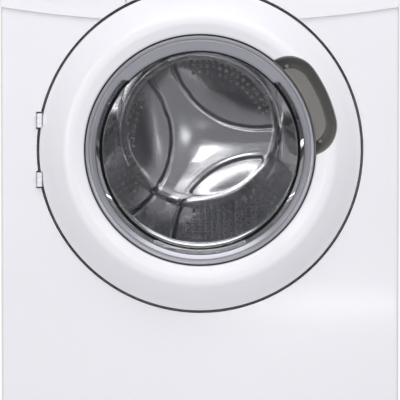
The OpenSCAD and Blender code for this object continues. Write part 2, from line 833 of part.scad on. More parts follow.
// The box in which the drawer runs. Water from the valve enters at its back.
module dispenser_housing() {
  w = housing_wall;
  color(tub_grey)
    difference() {
      union() {
        box([housing_x0, front_y + 19, housing_z0], [housing_x1, housing_y1, housing_z1]);
        // The flange that meets the control panel
        box([housing_x1 - 1, front_y + 26, housing_z0 + 5], [drawer_x + seam, front_y + 29, housing_z1]);
        // The outlet to the tub and the inlet from the valve
        translate([spout[0], spout[1], spout[2] - 10])
          cylinder(r = 14, h = 14, $fn = 48);
        bar_y(inlet_end[0], inlet_end[2], 7, housing_y1 - 2, housing_y1 + 14, 32);
      }
      box([housing_x0 + w, front_y + 18, housing_z0 + w], [housing_x1 - w, housing_y1 - w, housing_z1 - w]);
      translate([spout[0], spout[1], spout[2] - 11])
        cylinder(r = 11.5, h = 20, $fn = 48);
      bar_y(inlet_end[0], inlet_end[2], 5, housing_y1 - 5, housing_y1 + 15, 32);
    }
}

spout = [-152, housing_y1 - 36, housing_z0];
inlet_end = [-230, housing_y1 + 14.3, housing_z1 - 16];

// Water

module inlet_valve() {
  color([0.90, 0.90, 0.88])
    difference() {
      union() {
        translate([valve_x, 0, valve_z])
          turned(0)
            polygon([[0.01, -rear_y - port_reach], [port_r - 1, -rear_y - port_reach],
                     [port_r, -rear_y - port_reach + 1], [port_r, -rear_y - 1],
                     [17, -rear_y - 1], [17, -rear_y], [port_r, -rear_y], [port_r, -rear_y + sheet],
                     [19, -rear_y + sheet], [19, -rear_y + 12], [0.01, -rear_y + 12]]);
        // The two coils and the outlet
        for (dz = [-13, 13])
          front_plate(valve_x, valve_z + dz, 26, 22, 3, rear_y - 52, rear_y - 11);
        bar_y(valve_x + 20, valve_z, 6, rear_y - 45, rear_y - 14, 32);
        front_plate(valve_x + 10, valve_z, 24, 9, 2, rear_y - 20, rear_y - 11);
      }
      bar_y(valve_x, valve_z, 9, rear_y + 1, rear_y + port_reach + 1, 48);
    }
}

// Hose routes, as points placed by hand
inlet_path = [
  for (d = [45.3, 50, 55]) [valve_x + 20, rear_y - d, valve_z],
  [valve_x - 5, 190, top_z - 24], [120, 182, top_z - 11], [0, 180, top_z - 11], [-120, 178, top_z - 11],
  [inlet_end[0] + 25, 150, top_z - 20], for (d = [28, 13, 0]) inlet_end + [0, d, 0]
];
tub_inlet_z = axis_z + 214;
sump_end = [well_x - 22, well_y0 + 30, well_z - 12];
pump_in = [pump_x - 50, side_y + 86, pump_z + 24];
sump_path = [
  for (d = [0.3, 10, 22]) sump_end - [0, 0, d],
  [42, -110, 150], [80, -128, 112], for (d = [30, 14, 0.3]) pump_in - [d, 0, 0]
];
pump_out = [pump_x + 20, side_y + 86, pump_z + 52];
drain_path = [
  pump_out + [0, 0, 0.3], pump_out + [0, 0, 8], pump_out + [0, 0, 18],
  [drain_x + 17, -90, 180], [drain_x + 31, -20, 260], [drain_x + 33, 80, 420], [drain_x + 30, 170, 560],
  [drain_x + 17, 225, drain_z - 15],
  [drain_x + 4, 238, drain_z - 2], [drain_x, rear_y - 14.3, drain_z]
];

module inlet_hose() {
  color("white")
    tube_along(smooth(inlet_path, 4), 6, 10, [0, 0, 1]);
}

// A short bellows between the housing's outlet and the tub
module dispenser_hose() {
  z0 = tub_inlet_z + seat_gap;
  z1 = housing_z0 - 10 - seat_gap;
  fold = (z1 - z0) / 6;
  path = [for (k = [0:6]) [k % 2 == 0 ? 11.5 : 14.5, z0 + k * fold]];
  color(rubber_grey)
    translate([spout[0], spout[1], 0])
      rotate_extrude($fn = 48)
        polygon(concat(path, [for (k = [6:-1:0]) path[k] - [1.5, 0]]));
}

module sump_hose() {
  color(rubber_grey)
    tube_along(smooth(sump_path, 4), 15, 12, [0, 1, 0]);
}

// The hose inside the cabinet, up to its outlet in the rear panel
module drain_hose() {
  color(zinc)
    union() {
      tube_along(smooth(drain_path, 4), 10, 10, [1, 0, 0]);
      translate([drain_x, 0, drain_z])
        turned(0)
          polygon([[8.5, -rear_y - 13], [11, -rear_y - 13], [11, -rear_y], [12.3, -rear_y],
                   [12.3, -rear_y + sheet], [16, -rear_y + sheet], [16, -rear_y + 4], [11, -rear_y + 4],
                   [11, -rear_y + 14], [0.01, -rear_y + 14], [0.01, -rear_y + 6], [8.5, -rear_y + 6]]);
    }
}

module drain_pump() {
  color(grey_plastic)
    difference() {
      union() {
        bar_y(pump_x, pump_z, cap_r + 1.5, side_y + 4, side_y + 60);
        bar_y(pump_x, pump_z + 4, pump_r, side_y + 58, side_y + 106);
        bar_y(pump_x, pump_z + 4, 24, side_y + 104, side_y + 150);
        translate([pump_in[0], pump_in[1], pump_in[2]])
          rotate([0, 90, 0])
            cylinder(r = 15, h = 30, $fn = 48);
        translate([pump_out[0], pump_out[1], pump_z + 20])
          cylinder(r = 10, h = pump_out[2] - pump_z - 20, $fn = 48);
      }
      bar_y(pump_x, pump_z, filter_r + edge_gap, side_y + 3, side_y + 64);
      bar_y(pump_x, pump_z, cap_r - 1, side_y + 3, side_y + 8);
    }
}

module pump_filter() {
  color(grey_plastic)
    difference() {
      union() {
        translate([pump_x, 0, pump_z])
          turned(0)
            polygon([[0.01, -front_y - 7], [cap_r - 4, -front_y - 7], [cap_r - 2, -front_y - 9],
                     [cap_r - 2, -side_y - 5], [filter_r, -side_y - 5], [filter_r, -side_y - 58],
                     [0.01, -side_y - 58]]);
        front_plate(pump_x, pump_z, 2 * cap_r - 12, 8, 3, front_y + 3.5, front_y + 8);
      }
      // The windows of the lint cage
      box([pump_x - 12, side_y + 20, pump_z - 30], [pump_x + 12, side_y + 52, pump_z + 30]);
    }
}

// Tub

module tub_rear() {
  y0 = joint_y;
  y1 = tub_back_y + tub_t;
  color(tub_grey)
    difference() {
      union() {
        turned(axis_z)
          polygon([[tub_in_r, -y0], [rib_r + 6, -y0], [rib_r + 6, -y0 - 6], [tub_r, -y0 - 6],
                   [tub_r, -y1], [44, -y1], [44, -hub_end_y], [bearing_2_r, -hub_end_y],
                   [bearing_2_r, -bearing_split_y], [bearing_1_r, -bearing_split_y],
                   [bearing_1_r, -tub_back_y + 2], [44, -tub_back_y + 2], [44, -tub_back_y],
                   [tub_in_r, -tub_back_y]]);
        for (y = [y0 + 70, y0 + 140, y0 + 210])
          turned(axis_z)
            translate([tub_r - 0.5, -y])
              square([rib_r - tub_r + 0.5, 3]);
        // Radial ribs between the hub and the rim
        for (i = [0:11])
          translate([0, 0, axis_z])
            rotate([0, 30 * i + 15, 0])
              translate([1.5, 0, 0])
                rotate([0, -90, 0])
                  linear_extrude(3)
                    polygon([[42, y1 - 1], [tub_r - 1, y1 - 1], [tub_r - 1, y1 + 4], [42, hub_end_y - 4]]);
        // The well in which the heater lies
        difference() {
          box([-well_x, well_y0, well_z], [well_x, well_y1, axis_z - tub_in_r + 12]);
          box([-well_x + tub_t, well_y0 + tub_t, well_z + tub_t],
              [well_x - tub_t, well_y1 - tub_t, axis_z - tub_in_r + 13]);
          bar_y(0, axis_z, tub_in_r + 1, well_y0 - 1, well_y1 + 1, 128);
        }
        translate([sump_end[0], sump_end[1], sump_end[2]])
          cylinder(r = 15, h = 13, $fn = 48);
        tub_lugs();
      }
      bar_y(0, axis_z, tub_in_r, y0 - 1, tub_back_y - 0.001, 128);
      box([-well_x + tub_t, well_y0 + tub_t, well_z + tub_t],
          [well_x - tub_t, well_y1 - tub_t, axis_z - tub_in_r + 20]);
      box([-heater_w / 2, well_y1 - tub_t - 1, heater_z - 8], [heater_w / 2, well_y1 + 1, heater_z + 8]);
      translate([sump_end[0], sump_end[1], sump_end[2] - 1])
        cylinder(r = 12, h = 40, $fn = 48);
      translate([spout[0], spout[1], axis_z])
        cylinder(r = 10, h = tub_inlet_z - axis_z + 1, $fn = 48);
    }
}

heater_w = 60;
heater_z = well_z + 12;

// What the tub carries: spring pins, damper pins, motor ears and the inlet
module tub_lugs() {
  for (s = [-1, 1]) {
    translate([s * spring_x, 0, 0])
      box([s > 0 ? -40 : -8, spring_y - 9, spring_low_z - 12],
          [s > 0 ? 8 : 40, spring_y - 6, spring_low_z + 8]);
    bar_y(s * spring_x, spring_low_z, hook_pin_r, spring_y - 9, spring_y + 7, 32);
    bar_y(s * spring_x, spring_low_z, lug_head_r, spring_y + 5, spring_y + 7, 32);
    for (c = [-1, 1])
      translate([s * damper_head[0], damper_y + c * 9.5, damper_head[1]])
        box([-12, -1.5, -9], [12, 1.5, 34]);
    bar_y(s * damper_head[0], damper_head[1], eye_pin_r, damper_y - 11, damper_y + 11, 32);
    // Ears that hold the motor
    translate([s * (motor_r + 12), motor_y0 + 30, 0])
      box([-7, 0, motor_z + 20], [7, 40, axis_z - tub_r + 12]);
  }
  translate([spout[0], spout[1], axis_z + 180])
    cylinder(r = 13, h = tub_inlet_z - axis_z - 180, $fn = 48);
}

module tub_front() {
  y0 = tub_front_y - tub_t;
  color(tub_grey)
    union() {
      turned(axis_z)
        polygon([[tub_in_r, -joint_y], [rib_r + 6, -joint_y], [rib_r + 6, -joint_y + 6],
                 [tub_r, -joint_y + 6], [tub_r, -y0], [mouth_r + 3, -y0],
                 [mouth_r + 3, -tub_front_y], [tub_in_r, -tub_front_y]]);
      // The collar that the gasket grips, round the door's axis
      turned(door_z)
        polygon([[mouth_r - 1.5, -tub_mouth_y], [mouth_r + 1.2, -tub_mouth_y],
                 [mouth_r + 1.2, -y0], [mouth_r + 22, -y0], [mouth_r + 22, -tub_front_y],
                 [mouth_r - 1.5, -tub_front_y]]);
      // Screw bosses round the joint
      for (i = [0:11])
        translate([0, 0, axis_z])
          rotate([0, 30 * i + 15, 0])
            bar_y(0, rib_r + 4, 6, joint_y - 22, joint_y, 32);
    }
}

// The folded rubber bellows between the front panel and the tub
module door_gasket() {
  f = -floor_y;
  path = [
    [mouth_r + 3, f + 5], [mouth_r + 3, f + 13.8], [mouth_r - 2, f + 15.5], [mouth_r - 2, f],
    [mouth_r - 2.5, f - 8], [mouth_r + 10, f - 13], [mouth_r + 13, f - 16.5],
    [mouth_r + 10, f - 20], [mouth_r - 7, f - 24], [mouth_r - 9.5, f - 27.5],
    [mouth_r - 7, f - 31], [mouth_r + 3, f - 35], [mouth_r + 3, -tub_front_y + tub_t + 1]
  ];
  color(rubber_grey)
    turned(door_z)
      polygon(strip(path, 3));
}

module gasket_clamps() {
  f = -floor_y;
  color(steel) {
    turned(door_z)
      translate([mouth_r + 4.5 + 1.6 + 0.2, f + 9])
        circle(r = 1.6, $fn = 24);
    difference() {
      turned(door_z)
        translate([mouth_r + 4.5 + 0.2, -tub_front_y + tub_t + 4])
          square([1.2, 7]);
      box([-4, floor_y, 0], [4, joint_y, door_z]);
    }
  }
}

module upper_counterweight() {
  color(concrete)
    difference() {
      translate([25, (joint_y + 15 + joint_y + 225) / 2, axis_z + 205])
        linear_extrude(95)
          round_rect(250, 210, 14);
      bar_y(0, axis_z, rib_r + seat_gap, joint_y - 1, tub_back_y, 128);
      for (x = [-75, 125])
        translate([x, joint_y + 120, axis_z])
          cylinder(r = 7, h = 400, $fn = 32);
    }
}

module front_counterweight() {
  y0 = tub_front_y - tub_t;
  color(concrete)
    intersection() {
      turned(axis_z)
        polygon([[mouth_r + 26, -y0], [mouth_r + 26, -y0 + 22], [mouth_r + 30, -y0 + 26],
                 [tub_r - 6, -y0 + 26], [tub_r - 2, -y0 + 22], [tub_r - 2, -y0]]);
      box([-half_w, y0 - 40, 0], [half_w, y0 + 1, axis_z - 40]);
    }
}

// A coil with a loop at each end, as one wire from the lower pin to the upper
function spring_path(x, z0, z1) = let (
  loop_r = hook_pin_r + wire_r + seat_gap,
  low = z0 + loop_r + 6,
  high = z1 - loop_r - 6,
  turns = curls
) concat(
  [for (a = [230:-30:20]) [x + loop_r * cos(110 - a), spring_y, z0 + loop_r * sin(110 - a)]],
  [for (k = [0:8 * turns]) let (a = 45 * k)
    [x + coil_r * cos(a), spring_y + coil_r * sin(a), low + (high - low) * k / (8 * turns)]],
  [for (a = [20:30:250]) [x + loop_r * cos(110 - a), spring_y, z1 - loop_r * sin(110 - a)]]
);

module suspension_springs() {
  color(steel)
    for (s = [-1, 1])
      tube_along(spring_path(s * spring_x, spring_low_z, spring_top_z), wire_r, 6, [0, 1, 0]);
}

module at_damper(s) {
  translate([s * damper_foot[0], damper_y, damper_foot[1]])
    rotate([0, -s * damper_a, 0])
      children();
}

rod_r = 5;

module damper_cylinders() {
  color(dark_plastic)
    for (s = [-1, 1])
      at_damper(s)
        difference() {
          union() {
            bar_y(0, 0, eye_r, -7, 7, 48);
            cylinder(r = 6, h = 20, $fn = 48);
            translate([0, 0, 16])
              cylinder(r = 13, h = 114, $fn = 48);
          }
          bar_y(0, 0, eye_pin_r + seat_gap, -8, 8, 32);
          translate([0, 0, 20])
            cylinder(r = rod_r + seat_gap, h = 120, $fn = 32);
        }
}

module damper_rods() {
  color(steel)
    for (s = [-1, 1])
      at_damper(s)
        difference() {
          union() {
            translate([0, 0, 60])
              cylinder(r = rod_r, h = damper_l - 60 - 4, $fn = 32);
            bar_y(0, damper_l, eye_r, -7, 7, 48);
          }
          bar_y(0, damper_l, eye_pin_r + seat_gap, -8, 8, 32);
        }
}

module heating_element() {
  y_turn = well_y0 + 34;
  color(steel)
    union() {
      for (s = [-1, 1]) {
        bar_y(s * 18, heater_z, 4, y_turn, well_y1 + 6, 32);
        bar_y(s * 18, heater_z, 2, well_y1 + 5, well_y1 + 15, 32);
      }
      translate([0, y_turn, heater_z])
        intersection() {
          rotate_extrude($fn = 64)
            translate([18, 0])
              circle(r = 4, $fn = 32);
          box([-30, -30, -10], [30, 0.01, 10]);
        }
      box([-heater_w / 2 + 0.2, well_y1 - tub_t, heater_z - 7.8], [heater_w / 2 - 0.2, well_y1, heater_z + 7.8]);
      box([-heater_w / 2 - 4, well_y1, heater_z - 10], [heater_w / 2 + 4, well_y1 + 4, heater_z + 10]);
    }
}

// Drive

module drive_motor() {
  ear_z = motor_z + 20;
  color(zinc)
    difference() {
      union() {
        bar_y(0, motor_z, motor_r, motor_y0 + 8, motor_y1 - 10);
        bar_y(0, motor_z, motor_r - 8, motor_y0, motor_y1 - 1);
        bar_y(0, motor_z, 16, motor_y1 - 2, motor_y1 + 8, 48);
        // Feet under the ears of the tub
        for (s = [-1, 1])
          box([s > 0 ? 30 : -motor_r - 19, motor_y0 + 30, ear_z - 14],
              [s > 0 ? motor_r + 19 : -30, motor_y0 + 70, ear_z]);
      }
      bar_y(0, motor_z, motor_shaft_r + run_gap, motor_y1 - 60, motor_y1 + 9, 48);
      // Slots between the stack's cooling fins
      for (i = [0:9])
        translate([0, 0, motor_z])
          rotate([0, 100 + 18 * i, 0])
            box([motor_r - 4, motor_y0 + 20, -2], [motor_r + 1, motor_y1 - 22, 2]);
    }
}

// The ribs of a belt or the grooves of a pulley, as a profile from r0 outward
function groove_profile(r0, y0, n, d) = [
  for (k = [0:2 * n]) [r0 + (k % 2 == 0 ? d : 0), -(y0 + pulley_w * k / (2 * n))]
];

module motor_pulley() {
  color(steel)
    turned(motor_z)
      polygon(concat(
        groove_profile(motor_pulley_r - 1.5, pulley_y, 5, 1.5),
        [[motor_shaft_r, -(pulley_y + pulley_w)], [motor_shaft_r, -(pulley_y + pulley_w + 3)],
         [0.01, -(pulley_y + pulley_w + 3)], [0.01, -(motor_y1 - 58)],
         [motor_shaft_r, -(motor_y1 - 58)], [motor_shaft_r, -pulley_y]]));
}

module drum_pulley() {
  y1 = pulley_y + pulley_w;
  color([0.75, 0.76, 0.77])
    difference() {
      turned(axis_z)
        polygon(concat(
          groove_profile(pulley_r - 1.5, pulley_y, 5, 1.5),
          [[pulley_r - 9, -y1], [pulley_r - 9, -(pulley_y + 8)], [24, -(pulley_y + 8)],
           [24, -y1 - 1], [shaft_end_r, -y1 - 1], [shaft_end_r, -pulley_y + 1.2], [24, -pulley_y + 1.2],
           [24, -(pulley_y + 4)], [pulley_r - 9, -(pulley_y + 4)], [pulley_r - 9, -pulley_y]]));
      // Openings between the spokes
      for (i = [0:5])
        translate([0, 0, axis_z])
          rotate([0, 60 * i, 0])
            bar_y(0, pulley_r * 0.58, pulley_r * 0.2, pulley_y - 1, y1 + 1, 64);
    }
}

// The belt's loop, g outside both pulleys: an arc round each, joined by straight runs
module belt_loop(g) {
  r1 = pulley_r + g;
  r2 = motor_pulley_r + g;
  d = axis_z - motor_z;
  a = asin((r1 - r2) / d);
  polygon(concat(
    [for (k = [0:20]) let (t = 180 + a + (180 - 2 * a) * k / 20) r2 * [cos(t), sin(t)]],
    [for (k = [0:90]) let (t = -a + (180 + 2 * a) * k / 90) [0, d] + r1 * [cos(t), sin(t)]]
  ));
}

module drive_belt() {
  color([0.10, 0.10, 0.11])
    translate([0, pulley_y + pulley_w - 0.5, motor_z])
      rotate([90, 0, 0])
        linear_extrude(pulley_w - 1)
          difference() {
            belt_loop(belt_gap + belt_t);
            belt_loop(belt_gap);
          }
}

// Two ball bearings, each with its races and the shield between them, and the seal before them
module drum_bearings() {
  color(steel) {
    bearing(shaft_r + run_gap, bearing_1_r, tub_back_y + 2.2, bearing_1_w);
    bearing(shaft_end_r + run_gap, bearing_2_r, bearing_split_y + 0.2, bearing_2_w);
  }
}

module bearing(r0, r1, y0, w) {
  turned(axis_z)
    polygon([[r0, -y0], [r0 + 3, -y0], [r0 + 3, -y0 - 1], [r1 - 3, -y0 - 1], [r1 - 3, -y0],
             [r1, -y0], [r1, -y0 - w], [r1 - 3, -y0 - w], [r1 - 3, -y0 - w + 1],
             [r0 + 3, -y0 - w + 1], [r0 + 3, -y0 - w], [r0, -y0 - w]]);
}

// Drum

module drum_shell() {
  r = drum_r + drum_t / 2;
  f = -mouth_y;
  path = [
    [r, -drum_back_y - 6], [r, f - 14], [r - 3.5, f - 6], [r - 10, f - 2], [175, f + 2.4],
    [drum_mouth_r + 5, f + 2.4], [drum_mouth_r + 1.5, f], [drum_mouth_r + 0.6, f - 6]
  ];
  color(steel)
    turned(axis_z)
      polygon(strip(path, drum_t));
}

module star_plan() {
  difference() {
    circle(r = star_edge_r, $fn = 128);
    for (a = star_petals)
      rotate(a)
        translate([star_petal_off, 0])
          circle(r = star_petal_r, $fn = 128);
  }
}

// The back of the drum, a dished plate with a three-armed star pressed forward
module drum_back() {
  y1 = drum_back_y;
  t = drum_t;
  r = drum_r - 0.1;
  color(steel)
    union() {
      turned(axis_z)
        polygon([[0.01, -y1], [0.01, -y1 - t], [r, -y1 - t], [r, -y1 + 10], [r - t, -y1 + 10], [r - t, -y1]]);
      translate([0, y1 + 0.2, axis_z])
        rotate([90, 0, 0])
          difference() {
            linear_extrude(star_d + 0.2)
              star_plan();
            translate([0, 0, -1])
              linear_extrude(star_d + 1.2 - 2 * t)
                difference() {
                  circle(r = star_edge_r - t, $fn = 128);
                  for (a = star_petals)
                    rotate(a)
                      translate([star_petal_off, 0])
                        circle(r = star_petal_r + t, $fn = 128);
                }
          }
    }
}

module drum_lifters() {
  base_r = sqrt(pow(drum_r - 0.4, 2) - 35 * 35);
  y0 = mouth_y + 26;
  y1 = drum_back_y - star_d - 3;
  h = lifter_h;
  color([0.62, 0.64, 0.66])
    for (a = [90, 210, 330])
      translate([0, 0, axis_z])
        rotate([0, a, 0])
          intersection() {
            translate([0, y1, 0])
              rotate([90, 0, 0])
                linear_extrude(y1 - y0)
                  union() {
                    polygon([[-35, base_r], [-30, base_r - 8], [-13, base_r - h + 14],
                             [13, base_r - h + 14], [30, base_r - 8], [35, base_r]]);
                    translate([0, base_r - h + 13])
                      circle(r = 13, $fn = 48);
                  }
            translate([40, 0, 0])
              rotate([0, -90, 0])
                linear_extrude(80)
                  polygon([[base_r + 5, y0], [base_r + 5, y1], [base_r - 20, y1 - 2],
                           [base_r - h, y1 - 14], [base_r - h, y0 + 26], [base_r - 20, y0 + 4]]);
          }
}

module drum_spider() {
  y0 = drum_back_y + drum_t;
  color([0.66, 0.67, 0.68])
    difference() {
      union() {
        bar_y(0, axis_z, 36, y0, tub_back_y - 2);
        for (i = [0:2])
          translate([0, 0, axis_z])
            rotate([0, 120 * i + 90, 0])
              translate([0, y0 + 11, 0])
                rotate([90, 0, 0])
                  linear_extrude(11)
                    polygon([[-30, 20], [-14, drum_r - 6], [14, drum_r - 6], [30, 20]]);
      }
      bar_y(0, axis_z, shaft_r, y0 - 1, tub_back_y);
      // Pockets that leave each arm as a channel
      for (i = [0:2])
        translate([0, 0, axis_z])
          rotate([0, 120 * i + 90, 0])
            translate([0, y0 + 12, 0])
              rotate([90, 0, 0])
                linear_extrude(9)
                  polygon([[-18, 46], [-8, drum_r - 16], [8, drum_r - 16], [18, 46]]);
    }
}

module drum_shaft() {
  y0 = drum_back_y + drum_t;
  y1 = pulley_y + pulley_w + 1;
  color(zinc)
    union() {
      turned(axis_z)
        polygon([[0.01, -y0], [shaft_r, -y0], [shaft_r, -bearing_split_y], [shaft_end_r, -bearing_split_y],
                 [shaft_end_r, -y1], [0.01, -y1]]);
      // The bolt and washer that hold the pulley
      bar_y(0, axis_z, 17, y1, y1 + 1.6, 48);
      bar_y(0, axis_z, 9, y1 + 1, y1 + 6, 6);
    }
}

// Door

// Turns what is drawn at the three o'clock side of the door to the handle's angle
module at_latch() {
  translate([0, 0, door_z])
    rotate([0, -handle_a, 0])
      children();
}

latch_r = 200;
latch_pin_y = rim_back_y - 4;
grip_y = crest_y + 7.5;
grip_t = 4;
grip_pin_x = bezel_r - 2;
grip_pin_y = grip_y + 5;
grip_pin_r = 1.6;
ear_w = 6;
scoop_wall = 1.5;
handle_mid = handle_r - handle_end_r;
grip_mid = grip_r - grip_end_r;
// The angles at which the centres of the round ends lie
handle_turn = handle_half - asin(handle_end_r / handle_mid);
grip_turn = grip_half - asin(grip_end_r / grip_mid);
// Where the grip plate ends along the line of its pins
grip_end_v = grip_mid * sin(grip_turn)
  + sqrt(pow(grip_end_r, 2) - pow(grip_pin_x - grip_mid * cos(grip_turn), 2));

// The ring's face from its outer rim over the crest, as [radius, forward]
ring_face = [
  [door_r - 4, -rim_front_y + 2], [crest_r + 7, -crest_y - 2.8], [crest_r + 3, -crest_y - 0.7],
  [crest_r, -crest_y], [crest_r - 4, -crest_y - 0.7], [ring_in_r, -ring_in_y]
];

// Points of an arc of radius r round c from angle a0 to a1, without its first
function arc_to(c, r, a0, a1, n) = [
  for (k = [1:n]) let (t = a0 + (a1 - a0) * k / n) c + r * [cos(t), sin(t)]
];

// A band that follows the circle of radius mid between the angles -a and a, end_r to
// each side of it, with round ends
module handle_band(mid, end_r, a, y0, y1) {
  at_latch()
    translate([0, y1, 0])
      rotate([90, 0, 0])
        linear_extrude(y1 - y0)
          polygon(concat(
            arc_to([0, 0], mid + end_r, -a, a, 10),
            arc_to(mid * [cos(a), sin(a)], end_r, a, a + 180, 24),
            arc_to([0, 0], mid - end_r, a, -a, 6),
            arc_to(mid * [cos(a), -sin(a)], end_r, 180 - a, 360 - a, 24)
          ));
}

// The white ring: a rounded crest, a wide outer cone and a short inner cone
module door_frame() {
  t = ring_t;
  outer = concat(
    [[door_r, -rim_back_y], [door_r, -rim_front_y - 3], [door_r - 1.2, -rim_front_y]],
    ring_face,
    [[ring_in_r, -flange_y + 1]]
  );
  inner = [
    [ring_in_r + t, -flange_y + 1], [ring_in_r + t, -ring_in_y - 2.5],
    [crest_r, -crest_y - t], [door_r - 4, -rim_front_y + 2 - t], [door_r - t, -rim_front_y - 3],
    [door_r - t, -rim_back_y]
  ];
  color(paint)
    difference() {
      turned(door_z)
        polygon(concat(outer, inner));
      handle_band(handle_mid, handle_end_r + seat_gap, handle_turn, crest_y - 5, rim_front_y + 2);
      hinge_room();
    }
}

// The room round the hinge knuckles at the door's left edge
module hinge_room() {
  for (s = [-1, 1])
    translate([hinge_x, hinge_y, door_z + s * hinge_z - 14]) {
      cylinder(r = knuckle_r + 2, h = 28, $fn = 48);
      box([-8, 0, 0], [4.5, 30, 28]);
    }
}

module door_bezel() {
  color(silver)
    turned(door_z)
      polygon([
        [bezel_r, -bezel_y - 1.5], [bezel_r - 1, -bezel_y - 0.3], [bezel_r - 4, -bezel_y],
        [bezel_r - 5.5, -bezel_y - 1], [bezel_r - 7, -bezel_y - 0.8],
        [bezel_in + 2, -bezel_y - 5.5], [bezel_in, -bezel_y - 8], [bezel_in, -bezel_y - 13],
        [bezel_in + 3, -bezel_y - 13], [bezel_in + 3, -flange_y], [bezel_r, -flange_y]
      ]);
}

// The dark frame that closes the door's back and clamps the glass
module door_inner_frame() {
  back_y = floor_y - 5;
  lip_r = door_r - ring_t - 0.3;
  color(dark_plastic)
    difference() {
      union() {
        turned(door_z)
          polygon([
            [glass_r + seat_gap, -flange_y], [ring_in_r + 1, -flange_y], [ring_in_r + 1, -flange_y - 5],
            [mouth_r + 13, -flange_y - 5], [mouth_r + 13, -back_y + 3], [lip_r - 2.2, -back_y + 3],
            [lip_r - 2.2, -rim_back_y + 6], [lip_r, -rim_back_y + 6], [lip_r, -rim_back_y],
            [door_r + 1.3, -rim_back_y], [door_r + 1.3, -back_y], [mouth_r + 10, -back_y],
            [mouth_r + 10, -flange_y - 9], [bowl_r + 6, -flange_y - 9],
            [bowl_r + 6, -flange_y - flange_t - seat_gap], [glass_r + seat_gap, -flange_y - flange_t - seat_gap]
          ]);
        at_latch() {
          // Cheeks that hold the hook's pin
          for (s = [-1, 1])
            translate([0, 0, s * 10])
              box([latch_r - 6, latch_pin_y - 6, -2], [latch_r + 6, back_y - 1, 2]);
        }
      }
      at_latch() {
        box([latch_r - 9, front_y - 20, -7.5], [latch_r + 9, back_y + 1, 7.5]);
        translate([latch_r, latch_pin_y, -20])
          cylinder(r = pin_r, h = 40, $fn = 32);
      }
      hinge_room();
    }
}

// The pressed glass bowl. Its back sits higher than its flange.
module bowl_solid(inset) {
  fn = 64;
  y0 = flange_y + flange_t;
  y1 = flange_y + bowl_d;
  round_d = 9;
  hull() {
    translate([0, y0 - (inset > 0 ? 20 : 0.5), door_z])
      rotate([-90, 0, 0])
        cylinder(r = bowl_r - inset, h = inset > 0 ? 20 : 0.5, $fn = fn);
    translate([0, y1 - round_d - inset - 1, door_z + bowl_up])
      rotate([-90, 0, 0])
        scale([1, bowl_h / bowl_w, 1])
          cylinder(r = bowl_w - inset, h = 1, $fn = fn);
    translate([0, y1 - inset - 1, door_z + bowl_up])
      rotate([-90, 0, 0])
        scale([1, bowl_h / bowl_w, 1])
          cylinder(r = bowl_w - inset - round_d, h = 1, $fn = fn);
  }
}

module door_glass() {
  color([0.75, 0.82, 0.85, 0.4])
    difference() {
      union() {
        door_disc(glass_r, flange_y, flange_y + flange_t);
        bowl_solid(0);
      }
      bowl_solid(glass_t);
    }
}

// The arms on the door's back that carry its hinge knuckles
module door_hinge_arm() {
  back_y = floor_y - 5;
  color(zinc)
    difference() {
      union() {
        for (s = [-1, 1])
          translate([hinge_x, hinge_y, door_z + s * hinge_z]) {
            translate([0, 0, -knuckle_h / 2])
              cylinder(r = knuckle_r, h = knuckle_h, $fn = 48);
            translate([0, 0, -knuckle_h / 2])
              linear_extrude(knuckle_h)
                polygon([[0.5, 0], [knuckle_r - 0.2, 0], [knuckle_r - 0.2, back_y + 2 - hinge_y],
                         [0.5, back_y + 2 - hinge_y]]);
          }
        box([hinge_x + 3, back_y, door_z - hinge_z - 12], [hinge_x + 26, back_y + 2, door_z + hinge_z + 12]);
      }
      for (s = [-1, 1])
        translate([hinge_x, hinge_y, door_z + s * hinge_z - 20])
          cylinder(r = pin_r + run_gap, h = 40, $fn = 32);
    }
}

// The bracket behind the recess, with lugs that reach forward to the pins
module hinge_bracket() {
  plate_y = floor_y + sheet;
  color(zinc)
    difference() {
      union() {
        box([hinge_x - 22, plate_y, door_z - hinge_z - 22], [hinge_x + 22, plate_y + 3, door_z + hinge_z + 22]);
        for (s = [-1, 1], c = [-1, 1])
          translate([hinge_x, hinge_y, door_z + s * hinge_z + c * (knuckle_h / 2 + 0.3)])
            mirror([0, 0, c < 0 ? 1 : 0]) {
              cylinder(r = knuckle_r, h = 6.5, $fn = 48);
              box([-knuckle_r, 0, 0], [-knuckle_r + 3, plate_y - hinge_y + 1, 6.5]);
            }
      }
      for (s = [-1, 1])
        translate([hinge_x, hinge_y, door_z + s * hinge_z - 20])
          cylinder(r = pin_r, h = 40, $fn = 32);
    }
}

module hinge_pins() {
  color(steel)
    for (s = [-1, 1])
      translate([hinge_x, hinge_y, door_z + s * hinge_z - knuckle_h / 2 - 7])
        cylinder(r = pin_r, h = knuckle_h + 14, $fn = 32);
}

